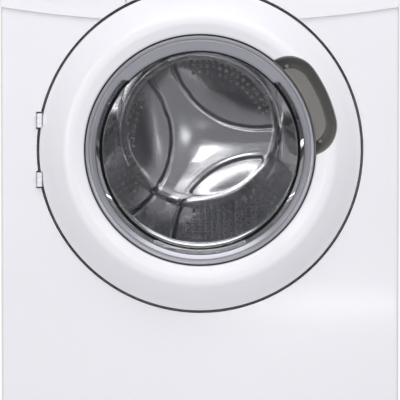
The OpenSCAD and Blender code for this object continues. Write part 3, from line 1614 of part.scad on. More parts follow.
// The fixed pocket that the fingers reach into, with a post for each of the grip's pins
module handle_scoop() {
  floor_y1 = grip_y + pocket_d;
  color(grey_plastic)
    difference() {
      union() {
        difference() {
          intersection() {
            handle_band(handle_mid, handle_end_r, handle_turn, crest_y, floor_y1);
            // What lies half a millimetre below the ring's face
            turned(door_z)
              polygon(concat([for (p = ring_face) p - [0, 0.5]],
                             [[bezel_r, -ring_in_y - 0.5], [bezel_r, -rim_front_y + 1.5]]));
          }
          difference() {
            handle_band(handle_mid, handle_end_r - scoop_wall, handle_turn, crest_y - 5, floor_y1 - 2);
            door_disc(bezel_r + seat_gap + scoop_wall, crest_y - 6, floor_y1);
          }
          door_disc(bezel_r + seat_gap, crest_y - 1, floor_y1 + 1);
          // The wall beside the silver ring stays behind the grip plate
          door_disc(bezel_r + seat_gap + scoop_wall + 0.5, crest_y - 1, grip_y + 4);
        }
        at_latch()
          for (s = [0, 1])
            mirror([0, 0, s])
              box([grip_pin_x - ear_w / 2, grip_pin_y - 2.4, grip_end_v + 1.4],
                  [grip_pin_x + ear_w / 2, floor_y1 - 1, grip_end_v + 6]);
      }
      at_latch()
        translate([grip_pin_x, grip_pin_y, -grip_end_v - 7])
          cylinder(r = grip_pin_r + run_gap, h = 2 * grip_end_v + 14, $fn = 32);
    }
}

// The curved plate that is pulled at its outer edge. It turns about short pins at its ends.
module handle_lever() {
  color(dark_plastic)
    union() {
      difference() {
        handle_band(grip_mid, grip_end_r, grip_turn, grip_y - grip_t / 2, grip_y + grip_t / 2);
        door_disc(bezel_r + 1.5, crest_y, grip_y + grip_t);
      }
      at_latch()
        for (s = [0, 1])
          mirror([0, 0, s]) {
            box([grip_pin_x - ear_w / 2, grip_y, grip_end_v - 5],
                [grip_pin_x + ear_w / 2, grip_pin_y + 3, grip_end_v - 1]);
            translate([grip_pin_x, grip_pin_y, grip_end_v - 2])
              cylinder(r = grip_pin_r, h = 7.4, $fn = 32);
          }
    }
}

// The hook on the door's back that catches behind the lock plate
module latch_hook() {
  back_y = floor_y - 5;
  tip_y = floor_y + sheet + 8;
  color(zinc)
    at_latch()
      union() {
        translate([latch_r, latch_pin_y, -7])
          cylinder(r = 4.5, h = 14, $fn = 32);
        translate([latch_r, latch_pin_y, -11.5])
          cylinder(r = pin_r - run_gap, h = 23, $fn = 32);
        translate([0, 0, -6])
          linear_extrude(12)
            polygon([[latch_r - 3, latch_pin_y], [latch_r + 3, latch_pin_y], [latch_r + 2, back_y],
                     [latch_r + 2, floor_y + sheet + 3.5], [latch_r + 8, floor_y + sheet + 3.5],
                     [latch_r + 3, tip_y], [latch_r - 3, tip_y]]);
      }
}

// The lock behind the front panel: its plate has the slot that the hook catches
module door_lock() {
  y0 = floor_y + sheet;
  color([0.92, 0.92, 0.90])
    at_latch()
      difference() {
        box([latch_r - 13.5, y0, -34], [latch_r + 34, y0 + 24, 34]);
        box([latch_r - 9, y0 - 1, -8], [latch_r + 5, y0 + 4, 8]);
        box([latch_r - 12, y0 + 3, -9], [latch_r + 12, y0 + 18, 9]);
      }
}

left_side_panel();
right_side_panel();
front_panel();
rear_panel();
rear_access_cover();
base_tray();
worktop();
kick_plinth();
control_panel();
display_window();
control_board();
dispenser_housing();
levelling_feet();
door_lock();
hinge_bracket();
hinge_pins();
panel_screws();
transit_hole_plugs();
inlet_valve();
inlet_hose();
dispenser_hose();
drain_pump();
sump_hose();
drain_hose();
cable_gland();
tub_rear();
tub_front();
door_gasket();
gasket_clamps();
upper_counterweight();
front_counterweight();
suspension_springs();
damper_cylinders();
damper_rods();
heating_element();
drive_motor();
drive_belt();
drum_bearings();
drum_shell();
drum_back();
drum_lifters();
drum_spider();
drum_shaft();
drum_pulley();
motor_pulley();
door_frame();
door_bezel();
door_inner_frame();
door_glass();
door_hinge_arm();
handle_scoop();
handle_lever();
latch_hook();
filter_flap();
pump_filter();
drawer_front();
drawer_tray();
programme_knob();
start_button();
option_button();
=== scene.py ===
"""Looks of a freestanding front-loading washing machine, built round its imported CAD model.

Lengths are in metres, +Z is up, the front faces -Y and +X is to the right.
"""

import logging
from dataclasses import dataclass, field
from enum import Enum
from math import acos, asin, atan2, ceil, cos, pi, radians, sin, tan
from typing import Iterable, Sequence

import bmesh
import bpy
import numpy as np
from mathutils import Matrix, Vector


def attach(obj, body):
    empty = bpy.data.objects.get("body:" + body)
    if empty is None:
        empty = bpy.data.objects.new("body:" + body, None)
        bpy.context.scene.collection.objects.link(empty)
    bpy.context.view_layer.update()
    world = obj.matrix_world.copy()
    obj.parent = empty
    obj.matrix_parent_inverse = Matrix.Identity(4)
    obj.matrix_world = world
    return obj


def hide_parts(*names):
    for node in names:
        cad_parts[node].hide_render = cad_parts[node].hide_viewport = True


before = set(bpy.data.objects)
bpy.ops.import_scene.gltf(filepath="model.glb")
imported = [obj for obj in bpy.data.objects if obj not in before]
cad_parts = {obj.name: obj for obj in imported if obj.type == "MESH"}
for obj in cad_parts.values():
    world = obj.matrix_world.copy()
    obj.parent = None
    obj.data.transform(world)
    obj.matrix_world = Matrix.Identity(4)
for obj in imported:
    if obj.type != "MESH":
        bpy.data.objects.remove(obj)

Array = np.ndarray
Material, Mesh, Node = bpy.types.Material, bpy.types.Mesh, bpy.types.Node
Piece, Socket, Tree = bpy.types.Object, bpy.types.NodeSocket, bpy.types.NodeTree
Pair, Triple = tuple[float, float], tuple[float, float, float]

LOG = logging.getLogger("washing_machine")
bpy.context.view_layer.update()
MM = 0.001
DOOR_Z = 0.490  # height of the door's axis
DRUM_Z = 0.500  # height of the drum's axis
HANDLE_ANGLE = radians(24.2)
WHITE = (1.0, 1.0, 1.0, 1.0)
COAT_ROUGH = 0.08
MERGE = 2e-6  # points closer than this, in metres, are one
SLIVER = 1e-7  # edges shorter than this are taken out
STRAIGHT = radians(89.67)  # half the angle of a corner that needs no rounding
MOST_CUT = 0.49  # the share of a side that one corner's arc may take


class Grain(Enum):
    """How a surface was made, which decides its fine texture."""

    SMOOTH = "smooth"
    ORANGE_PEEL = "orange peel"
    MOULDED = "moulded"
    BRUSHED = "brushed"
    SPANGLE = "spangle"
    CAST = "cast"
    POROUS = "porous"


def linear(code: str) -> tuple[float, float, float, float]:
    """Turns an sRGB hex colour into the linear values that a shader takes.

    Args:
        code: six hex digits, such as "f4f4f6".
    Returns:
        Red, green, blue and an alpha of 1.
    """
    parts = [int(code[i:i + 2], 16) / 255 for i in (0, 2, 4)]
    low = [c / 12.92 if c <= 0.04045 else ((c + 0.055) / 1.055) ** 2.4 for c in parts]
    return low[0], low[1], low[2], 1.0


def plug(node: Node, inputs: dict[str | int, object]) -> None:
    """Gives some inputs of a node their values.

    Args:
        node: the node.
        inputs: for each input's name or number, a value or the output that feeds it.
    """
    for key, value in inputs.items():
        if isinstance(value, Socket):
            node.id_data.links.new(value, node.inputs[key])
        else:
            node.inputs[key].default_value = value


def add_node(tree: Tree, kind: str, inputs: dict | None = None, **settings: object) -> Node:
    """Adds one shader node.

    Args:
        tree: the material's node tree.
        kind: the node's type name, after ShaderNode.
        inputs: what its inputs get, as in plug.
        settings: properties of the node itself.
    Returns:
        The new node.
    """
    node = tree.nodes.new("ShaderNode" + kind)
    for key, value in settings.items():
        setattr(node, key, value)
    plug(node, inputs or {})
    return node


@dataclass(frozen=True)
class Finish:
    """One real material and the way its surface was made."""

    name: str
    colour: str
    rough: float
    grain_mm: float
    depth_um: float
    wander: float = 0.03
    metal: float = 0.0
    ior: float = 1.5
    coat: float = 0.0
    grain: Grain = Grain.MOULDED

    def build(self) -> Material:
        """Makes the material.

        Returns:
            A node material on object coordinates.
        """
        material = bpy.data.materials.new(self.name)
        material.use_nodes = True
        tree = material.node_tree
        shader = tree.nodes["Principled BSDF"]
        plug(shader, {"Base Color": linear(self.colour), "Roughness": self.rough,
                      "Metallic": self.metal, "Coat Weight": self.coat,
                      "Coat Roughness": COAT_ROUGH})
        if not self.metal:
            plug(shader, {"IOR": self.ior})
        self.dress(tree, shader, add_node(tree, "TexCoord").outputs["Object"])
        return material

    def dress(self, tree: Tree, shader: Node, place: Socket) -> None:
        """Adds the texture that the way of making leaves.

        Args:
            tree: the material's node tree.
            shader: its Principled node.
            place: the coordinates that the patterns read.
        """
        stretch = (1.0, 1.0, 40.0 if self.grain is Grain.BRUSHED else 1.0)
        room = add_node(tree, "Mapping", {"Vector": place, "Scale": stretch}).outputs[0]
        read = {"Vector": room, "Scale": 1.0 / (self.grain_mm * MM)}
        if self.grain is Grain.SPANGLE:
            fine = add_node(tree, "TexVoronoi", read).outputs["Color"]
            fine = add_node(tree, "RGBToBW", {"Color": fine}).outputs[0]
        else:
            detail = {Grain.POROUS: 8.0, Grain.CAST: 5.0, Grain.BRUSHED: 4.0}
            read["Detail"] = detail.get(self.grain, 2.0)
            fine = add_node(tree, "TexNoise", read).outputs[0]
        if self.depth_um > 0:
            self.bump(tree, shader, fine)
        broad = add_node(tree, "TexNoise", {
            "Vector": place, "Scale": 9.0, "Detail": 3.0}).outputs[0]
        uneven = self.grain in (Grain.SPANGLE, Grain.POROUS, Grain.BRUSHED)
        source, low, high = (fine, 0.3, 0.7) if uneven else (broad, 0.15, 0.85)
        span = {"Value": source, "From Min": low, "From Max": high}

        def spread(least: float, most: float) -> Socket:
            """The pattern's values, spread between two limits."""
            return add_node(tree, "MapRange", {**span, "To Min": least, "To Max": most}).outputs[0]

        mixed = add_node(tree, "Mix", {
            0: 1.0, 6: linear(self.colour), 7: spread(1.0 - self.wander * 0.8, 1.0)},
            data_type="RGBA", blend_type="MULTIPLY")
        rough = spread(max(self.rough - self.wander, 0.02), self.rough + self.wander)
        plug(shader, {"Roughness": rough, "Base Color": mixed.outputs[2]})

    def bump(self, tree: Tree, shader: Node, height: Socket) -> None:
        """Lets a pattern raise the surface by up to depth_um."""
        node = add_node(tree, "Bump", {"Height": height, "Distance": self.depth_um * 1e-6})
        plug(shader, {"Normal": node.outputs[0]})


@dataclass(frozen=True)
class PressedGlass(Finish):
    """Clear soda-lime glass pressed in a mould: sharp reflections, faint waviness, a cold tint."""

    def dress(self, tree: Tree, shader: Node, place: Socket) -> None:
        """Makes the shader clear, wavy, and open to rays from the lamps.

        Args:
            tree: the material's node tree.
            shader: its Principled node.
            place: the coordinates that the patterns read.
        """
        plug(shader, {"Transmission Weight": 1.0})
        wave = add_node(tree, "TexNoise", {
            "Vector": place, "Scale": 1 / (self.grain_mm * MM), "Detail": 1.0})
        self.bump(tree, shader, wave.outputs[0])
        clear = add_node(tree, "BsdfTransparent", {"Color": linear("eef2f4")})
        path = add_node(tree, "LightPath")
        mix = add_node(tree, "MixShader", {
            0: path.outputs["Is Shadow Ray"], 1: shader.outputs[0], 2: clear.outputs[0]})
        plug(tree.nodes["Material Output"], {"Surface": mix.outputs[0]})


# Each finish has its name, colour, roughness, grain size in mm and grain depth in um, then
# how far roughness and tone wander where that isn't 0.03, and what sets it apart.
SHADE = Finish("shadow inside a perforation", "141416", 0.7, 1.0, 0.0, grain=Grain.POROUS)
ENAMEL = Finish("baked enamel on sheet steel", "f2f1f6", 0.22, 2.2, 5.0, 0.02,
                grain=Grain.ORANGE_PEEL, coat=0.35)  # bright, with a soft orange peel
# A satin gloss, hardly any grain
WHITE_ABS = Finish("moulded white ABS", "f3f2f7", 0.26, 1.6, 3.0, 0.02, coat=0.2)
MELAMINE = Finish("melamine-faced worktop", "f1f1f3", 0.38, 1.2, 9.0)
# Fine flake under a clear coat
SILVER_PAINT = Finish("silver-painted ABS", "a3a3ab", 0.3, 0.9, 2.0, 0.04, metal=0.75, coat=0.4)
# The door's inner frame: a dark grey moulding, kept this dark partly as painted shade for the
# narrow gap round the door
DARK_ABS_GAP_SHADE = Finish("dark grained ABS", "484846", 0.36, 0.7, 9.0, 0.05)
GREY_ABS = Finish("warm grey grained ABS", "7d7c79", 0.36, 0.7, 9.0, 0.04)
PLATE_ABS = Finish("warm grey satin ABS", "73726f", 0.4, 0.7, 7.0)
BLACK_ABS = Finish("black moulded ABS", "1b1c1e", 0.4, 0.8, 8.0)
SMOKED = Finish("smoked acrylic window", "08090b", 0.06, 1.0, 0.0, 0.01, ior=1.49,
                grain=Grain.SMOOTH, coat=0.5)
GLASS = PressedGlass("pressed clear glass", "ffffff", 0.0, 45.0, 120.0)
DRUM_STEEL = Finish("bright annealed stainless steel", "dcdce0", 0.13, 2.0, 1.2, 0.04, metal=1.0,
                    grain=Grain.BRUSHED)  # drawn out a little by rolling
STAINLESS = Finish("brushed stainless steel", "b9bbbe", 0.28, 1.2, 3.0, 0.06, metal=1.0,
                   grain=Grain.BRUSHED)
GALVANISED = Finish("hot-dip galvanised steel", "aeb2b6", 0.42, 11.0, 2.0, 0.1, metal=0.85,
                    grain=Grain.SPANGLE)  # zinc crystals about a centimetre across
ZINC_PLATE = Finish("bright zinc plating", "b6babd", 0.3, 1.0, 3.0, 0.05, metal=1.0)
DIE_CAST = Finish("die-cast aluminium", "b0b2b4", 0.48, 1.4, 30.0, 0.08, metal=0.9,
                  grain=Grain.CAST)
FILLED_PP = Finish("chalk-filled polypropylene", "cfd1cf", 0.5, 2.0, 20.0, 0.05)
WHITE_PP = Finish("white moulded polypropylene", "e3e5e6", 0.4, 1.5, 10.0)
LIFTER_PP = Finish("grey moulded polypropylene", "8b9096", 0.34, 1.2, 8.0, 0.04)
GREY_RUBBER = Finish("grey EPDM rubber", "595b60", 0.42, 0.9, 14.0, 0.06)
BLACK_RUBBER = Finish("black EPDM rubber", "1d1d1f", 0.55, 0.9, 18.0, 0.06)
CONCRETE = Finish("vibrated concrete", "9a9894", 0.85, 6.0, 350.0, 0.12, grain=Grain.POROUS)
BOARD = Finish("solder-masked circuit board", "1d5a38", 0.32, 3.0, 8.0)


def rounded(points: Sequence[Sequence[float]], radii: Sequence[float],
            steps: int = 6) -> Array:
    """Rounds the corners of an open path in a plane.

    Each inner corner is replaced by the arc that touches both its sides. The arc's ends lie
    the radius over the tangent of half the corner's angle away, at most 49% of a side.

    Args:
        points: the corners, as pairs.
        radii: one radius for each corner; the first and last are ignored.
        steps: how many pieces each arc has.
    Returns:
        An array of the new points, N by 2.
    """
    p = np.asarray(points, float)
    out = [p[0]]
    for i in range(1, len(p) - 1):
        back, ahead = p[i - 1] - p[i], p[i + 1] - p[i]
        lb, la = np.linalg.norm(back), np.linalg.norm(ahead)
        ub, ua = back / lb, ahead / la
        half = acos(float(np.clip(ub @ ua, -1, 1))) / 2
        if radii[i] <= 0 or half > STRAIGHT:
            out.append(p[i])
            continue
        cut = min(radii[i] / tan(half), MOST_CUT * lb, MOST_CUT * la)
        r = cut * tan(half)
        middle = (ub + ua) / np.linalg.norm(ub + ua)
        centre = p[i] + middle * r / sin(half)
        a, b = p[i] + ub * cut - centre, p[i] + ua * cut - centre
        turn = atan2(a[0] * b[1] - a[1] * b[0], a @ b)
        t = np.linspace(0, turn, steps + 1)[:, None]
        side = np.array([-a[1], a[0]])
        out.extend(centre + a * np.cos(t) + side * np.sin(t))
    out.append(p[-1])
    return np.array(out)


def resampled(path: Array, step: float) -> Array:
    """Adds points along a path so that no side is longer than a step.

    Args:
        path: N by 2 points.
        step: the longest side allowed.
    Returns:
        The denser path, which keeps every point of the old one.
    """
    pieces = []
    for a, b in zip(path[:-1], path[1:]):
        n = max(1, int(ceil(np.linalg.norm(b - a) / step)))
        pieces.append(a + (b - a) * np.linspace(0, 1, n, endpoint=False)[:, None])
    return np.vstack(pieces + [path[-1:]])


class Facing(Enum):
    """Which way the faces of a new piece look."""

    LAID = "as its grids run"
    OUTWARD = "out of its closed shell"
    FRONT = "most of its area to the front"


class Patches:
    """Grids of points that become one mesh."""

    def __init__(self) -> None:
        """Starts with nothing."""
        self.points: list[Array] = []
        self.faces: list[Array] = []
        self.count = 0

    def add(self, xyz: Array, wrap_u: bool = False, keep: Array | None = None) -> None:
        """Adds one grid of four-sided faces.

        Args:
            xyz: points by row u and column v, U by V by 3.
            wrap_u: True if the last row joins the first.
            keep: which faces stay, as a grid of booleans, or None for all.
        """
        nu, nv = xyz.shape[:2]
        u, v = np.meshgrid(np.arange(nu if wrap_u else nu - 1), np.arange(nv - 1), indexing="ij")
        here, there = u * nv + v, (u + 1) % nu * nv + v
        quads = np.stack([here, there, there + 1, here + 1], axis=-1)
        if keep is not None:
            quads = quads[keep]
        self.faces.append(quads.reshape(-1, 4) + self.count)
        self.points.append(xyz.reshape(-1, 3))
        self.count += nu * nv

    def build(self, name: str, facing: Facing = Facing.OUTWARD, merge: float = MERGE) -> Piece:
        """Makes the object, with its doubles merged.

        Args:
            name: the piece's name.
            facing: which way its faces look.
            merge: how close two points are one, in metres.
        Returns:
            The new object, in the scene.
        """
        mesh = bpy.data.meshes.new(name)
        points, faces = np.vstack(self.points), np.vstack(self.faces)
        mesh.from_pydata(points.tolist(), [], faces.tolist())
        edit = bmesh.new()
        edit.from_mesh(mesh)
        bmesh.ops.remove_doubles(edit, verts=edit.verts, dist=merge)
        bmesh.ops.dissolve_degenerate(edit, edges=edit.edges, dist=SLIVER)
        if facing is not Facing.LAID:
            bmesh.ops.recalc_face_normals(edit, faces=edit.faces)
        edit.normal_update()
        if facing is Facing.FRONT and sum(f.normal.y * f.calc_area() for f in edit.faces) > 0:
            bmesh.ops.reverse_faces(edit, faces=edit.faces)
        edit.to_mesh(mesh)
        edit.free()
        mesh.shade_smooth()
        piece = bpy.data.objects.new(name, mesh)
        bpy.context.scene.collection.objects.link(piece)
        return piece


def closed_shell(name: str, grid: Array, merge: float = MERGE) -> Piece:
    """Makes a piece from one grid whose last row joins its first.

    Args:
        name: the piece's name.
        grid: its points, U by V by 3.
        merge: how close two points are one, in metres.
    Returns:
        The new object, in the scene.
    """
    patches = Patches()
    patches.add(grid, wrap_u=True)
    return patches.build(name, merge=merge)


def about(height: float, r: Array | float, a: Array, y: Array | float) -> Array:
    """Points round a line along y at a height: x = r cos a, z = height + r sin a."""
    x, z = r * np.cos(a), height + r * np.sin(a)
    return np.stack(np.broadcast_arrays(x, y, z), axis=-1)


def turned(path: Array, height: float, angles: Array, share: Array | float = 1.0) -> Array:
    """Turns a path of radius and y, its radii times share, to points by angle and path."""
    return about(height, path[None, :, 0] * share, angles[:, None], path[None, :, 1])


def full_turn(count: int) -> Array:
    """Angles once round, without the last, which joins the first."""
    return np.linspace(0, 2 * pi, count, endpoint=False)


def eased(v: Array) -> Array:
    """A smooth step from 0 at 0 to 1 at 1."""
    v = np.clip(v, 0, 1)
    return v * v * (3 - 2 * v)


def hand_over(piece: Piece, finish: Material, body: str,
              nodes: Iterable[str] = (), sharp: float = 35.0) -> None:
    """Dresses a piece and ties it to its body.

    Args:
        piece: the new object.
        finish: its material.
        body: the CAD body that it moves with.
        nodes: the CAD nodes that it stands for.
        sharp: the angle, in degrees, past which an edge shows as sharp.
    """
    piece.data.materials.clear()
    piece.data.materials.append(finish)
    piece.data.set_sharp_from_angle(angle=radians(sharp))
    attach(piece, body)
    for node in nodes:
        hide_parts(node)
    LOG.info("%s rides on %s, %d points", piece.name, body, len(piece.data.vertices))


@dataclass(frozen=True)
class Band:
    """An outline that follows a circle about the door's axis and ends in two round ends."""

    mid: float
    end: float
    turn: float

    def edge(self, a: Array, least: float) -> Array:
        """The outline's outer radius at angles from its middle.

        Up to the angle turn it is mid + end. At an angle b past it, the ray meets the round
        end at mid cos b plus the root of end squared less (mid sin b) squared.

        Args:
            a: angles from the outline's middle, in radians.
            least: the radius under which nothing is drawn.
        Returns:
            Radii in metres.
        """
        b = np.maximum(np.abs(a) - self.turn, 0)
        reach = np.sqrt(np.maximum(self.end ** 2 - (self.mid * np.sin(b)) ** 2, 0))
        return np.maximum(self.mid * np.cos(b) + reach, least)

    def half(self, least: float) -> float:
        """The angle at which the outline comes down to the radius least."""
        cosine = (least ** 2 + self.mid ** 2 - self.end ** 2) / (2 * least * self.mid)
        return self.turn + acos(cosine)

    def loop(self, shrink: float, least: float) -> Array:
        """The closed outline above the radius least, drawn in by shrink.

        Each round end runs in the angle t about its centre, from straight out to where the
        radius is least: cos t is (least^2 - mid^2 - end^2) / (2 mid end).

        Args:
            shrink: how far the outline is drawn in, in metres.
            least: the radius of its inner edge.
        Returns:
            Angle and radius of each point, going once round.
        """
        e = self.end - shrink
        stop = acos((least ** 2 - self.mid ** 2 - e ** 2) / (2 * self.mid * e))
        t = np.linspace(0, stop, 49)
        x, y = self.mid + e * np.cos(t), e * np.sin(t)
        angle, radius = self.turn + np.arctan2(y, x), np.hypot(x, y)
        arc = np.linspace(-self.turn, self.turn, 41)[1:-1]
        back = np.linspace(angle[-1], -angle[-1], 97)[1:-1]
        angles = np.concatenate([-angle[::-1], arc, angle, back])
        radii = [radius[::-1], 0 * arc + self.mid + e, radius, 0 * back + least]
        return np.stack([angles, np.concatenate(radii)], axis=1)


POCKET = Band(164.0 * MM, 45.5 * MM, radians(11.29))
PLATE = Band(164.5 * MM, 29.0 * MM, radians(10.45))


@dataclass
class Door:
    """The domed ring with its silver bezel and glass bowl."""

    outer_r: float = 243.5 * MM
    inner_r: float = 174.0 * MM
    notch_r: float = 235.5 * MM  # where the lip that the knuckles notch begins
    band_r: float = 212.0 * MM
    front_step: float = 2.2 * MM
    seat_gap: float = 0.3 * MM
    wall: float = 2.6 * MM
    inner_wall_y: Pair = (-262.0 * MM, -250.5 * MM)
    knuckle_z: Pair = (-44.5 * MM, 44.5 * MM)
    knuckle_half: float = 10.9 * MM
    knuckle_x: float = 237.4 * MM
    skirt: float = 7.0 * MM
    skirt_ends: Pair = (41.0, 137.5)  # degrees
    skirt_ease: float = 2.0  # degrees
    skirt_r: Pair = (156.0 * MM, 163.0 * MM)  # moved in full, and not at all
    flange_y: float = -250.0 * MM
    bowl_depth: float = 115.0 * MM
    bowl_t: float = 5.0 * MM
    mouth_half: float = 152.0 * MM
    back_half: Pair = (124.8 * MM, 118.0 * MM)  # across and up
    back_rise: float = 34.0 * MM  # how far the back's middle lies over the mouth's

    def build(self) -> None:
        """Makes the door's pieces and ties them to the door body."""
        hand_over(self.ring(), WHITE_ABS.build(), "door", ["door_frame"])
        hand_over(self.bezel(), SILVER_PAINT.build(), "door", ["door_bezel"])
        hand_over(self.bowl(), GLASS.build(), "door", ["door_glass"], sharp=60.0)

    def front_profile(self) -> list[Array]:
        """The ring's front, from its inner edge out over the crest to its back edge.

        A short cone climbs to a round crest at r 197 mm, then a wide, slightly hollow cone
        falls to the rim, which turns back in a small round.

        Returns:
            Points of radius and y, in metres: those up to the widest, and the rest.
        """
        corners = [(174.0, -270.6), (175.6, -273.0), (190.5, -279.6), (202.5, -279.6),
                   (222.0, -264.6), (236.8, -251.2), (240.6, -248.4), (243.5, -246.2),
                   (243.5, -229.0)]
        radii = [0, 1.5, 16.0, 20.0, 120.0, 14.0, 8.0, 2.0, 0]
        path = resampled(rounded(corners, radii, 10) * MM, self.front_step)
        return np.split(path, [np.argmax(path[:, 0])])

    def ring(self) -> Piece:
        """The white ring, as a sheet over angle and radius that is given its wall.

        It starts at the handle's outline or at the silver ring. From band_r outward its
        columns are the same all round. Beside the two hinge knuckles it ends at the upright
        line x = -knuckle_x, a radius of knuckle_x / cos a.

        Returns:
            The new object.
        """
        face, rim = self.front_profile()
        cut = Band(POCKET.mid, POCKET.end + self.seat_gap, POCKET.turn)
        half = cut.half(self.inner_r)

        def sheet(angles: Array, low: Array | float, high: Array | float, count: int) -> Array:
            """A part of the ring's face, with y from the profile.

            Args:
                angles: the angles of its rows.
                low: the radius, or each row's own, at which it starts.
                high: the radius, or each row's own, at which it ends.
                count: how many points a row has.
            Returns:
                A grid of points.
            """
            low, high = (np.broadcast_to(v, angles.shape)[:, None] for v in (low, high))
            r = low + (high - low) * np.linspace(0, 1, count)
            return about(DOOR_Z, r, angles[:, None], np.interp(r, face[:, 0], face[:, 1]))

        ease = np.sin(np.linspace(-pi / 2, pi / 2, 131))
        beside = HANDLE_ANGLE + half * ease
        away = np.linspace(HANDLE_ANGLE + half, HANDLE_ANGLE - half + 2 * pi, 501)
        for z in self.knuckle_z:
            for edge in (z - self.knuckle_half, z + self.knuckle_half):
                angle = pi - asin(edge / self.outer_r)
                away[np.argmin(np.abs(away - angle))] = angle
        patches = Patches()
        top = face[-1, 0]
        for angles, at_handle in ((away, False), (beside, True)):
            start = self.inner_r
            if at_handle:
                start = cut.edge(angles - HANDLE_ANGLE, self.inner_r)
            patches.add(sheet(angles, start, self.band_r, 32))
            patches.add(sheet(angles, self.band_r, self.notch_r, 15))
            lip = sheet(angles, self.notch_r, top, 6)
            side = turned(rim, DOOR_Z, angles)
            clear = self.outside_knuckles(lip)
            patches.add(lip, keep=clear)
            patches.add(side, keep=self.outside_knuckles(side))
            if not at_handle:
                across = np.maximum(np.abs(np.cos(angles)), 0.5)  # kept well away from zero
                stop = np.minimum(top, self.knuckle_x / across)
                patches.add(sheet(angles, self.notch_r, stop, 6), keep=~clear)
                depths = np.array([[face[0, 1], *self.inner_wall_y]])
                patches.add(about(DOOR_Z, self.inner_r, angles[:, None], depths))
        piece = patches.build("door_ring", Facing.FRONT, merge=1e-5)
        solid = piece.modifiers.new("wall", "SOLIDIFY")
        solid.thickness = self.wall
        solid.offset = -1.0
        return piece

    def outside_knuckles(self, grid: Array) -> Array:
        """Which faces of a grid lie clear of the two notches for the hinge knuckles.

        Args:
            grid: its points.
        Returns:
            One boolean for each face.
        """
        middle = (grid[:-1, :1] + grid[1:, :1]) / 2
        level = [np.abs(middle[..., 2] - DOOR_Z - z) < self.knuckle_half for z in self.knuckle_z]
        hit = (middle[..., 0] < 0) & np.any(level, axis=0)
        return np.broadcast_to(~hit, (grid.shape[0] - 1, grid.shape[1] - 1))

    def bezel(self) -> Piece:
        """The silver ring: a flat outer land, a groove, a wide cone and a rolled inner lip.

        Over the top, between the two skirt ends, the lip reaches further in by skirt.

        Returns:
            The new object.
        """
        corners = [(159.0, -250.0), (159.0, -256.5), (156.2, -256.5), (156.0, -263.0),
                   (157.6, -265.2), (163.8, -268.8), (164.6, -268.0), (166.0, -268.0),
                   (166.8, -269.6), (170.6, -270.8), (172.0, -268.6), (172.0, -250.0),
                   (159.0, -250.0)]
        radii = [0, 0.8, 0.8, 1.6, 1.2, 0.9, 0.5, 0.5, 0.9, 1.2, 1.0, 0.6, 0]
        path = rounded(corners, radii, 5) * MM
        angles = full_turn(480)
        lo, hi = (radians(a) for a in self.skirt_ends)
        ends = np.minimum(angles - lo, hi - angles) / radians(self.skirt_ease)
        ends = np.clip(ends, 0, 1)
        full, none = self.skirt_r
        share = np.clip((none - path[:, 0]) / (none - full), 0, 1)
        drawn = 1 - (self.skirt * ends ** 0.5)[:, None] * share[None, :] / path[None, :, 0]
        return closed_shell("silver_bezel", turned(path, DOOR_Z, angles, drawn))

    def bowl(self) -> Piece:
        """The glass bowl with its flange, one closed shell.

        A point lies at x = q a cos t and z = c + q b sin t. The half width a, half height b
        and the middle's height c run evenly from the flange to the back, and the path of q
        over depth is the wall's section.

        Returns:
            The new object.
        """
        front = self.flange_y + 5 * MM  # where the flange ends and the wall begins
        back = self.flange_y + self.bowl_depth
        unit = 150.0 * MM  # stands for q = 1 in the section

        def section(inset: float) -> Array:
            """Half of the bowl's section, from the flange to the middle of the back.

            Args:
                inset: 0 for the outer surface, or the glass's thickness for the inner.
            Returns:
                Points of q times unit, and y.
            """
            floor = back - inset
            corners = [(unit, front), (unit, front + 4 * MM), (unit * 0.995, floor),
                       (unit * 0.5, floor - 1.0 * MM), (0.0, floor + 1.5 * MM)]
            radii = [0, 0, 17 * MM - inset, 300 * MM, 0]
            return resampled(rounded(corners, radii, 12), 5 * MM)

        def placed(path: Array, inset: float, angles: Array) -> Array:
            """Puts a section's points at every angle.

            Args:
                path: the section's points.
                inset: how far the half width and half height are drawn in.
                angles: the angles t.
            Returns:
                A grid of points, angles by path.
            """
            d = np.clip((path[:, 1] - front) / (back - front), 0, 1.05)
            a, b = (self.mouth_half + (half - self.mouth_half) * d - inset
                    for half in self.back_half)
            q, c, t = path[:, 0] / unit, DOOR_Z + self.back_rise * d, angles[:, None]
            return np.stack(np.broadcast_arrays(
                q * a * np.cos(t), path[:, 1], c + q * b * np.sin(t)), axis=-1)

        angles = full_turn(256)
        outer = placed(section(0.0), 0.0, angles)
        inner = placed(section(self.bowl_t), self.bowl_t, angles)
        rim = [(147.0, -245.0), (147.0, -250.0), (164.0, -250.0), (164.0, -245.0), (152.0, -245.0)]
        flange = turned(rounded(rim, [0, 1.5, 1.0, 1.0, 0], 5) * MM, DOOR_Z, angles)
        grid = np.concatenate([inner[:, ::-1], flange[:, 1:-1], outer], axis=1)
        return closed_shell("glass_bowl", grid, merge=2e-5)


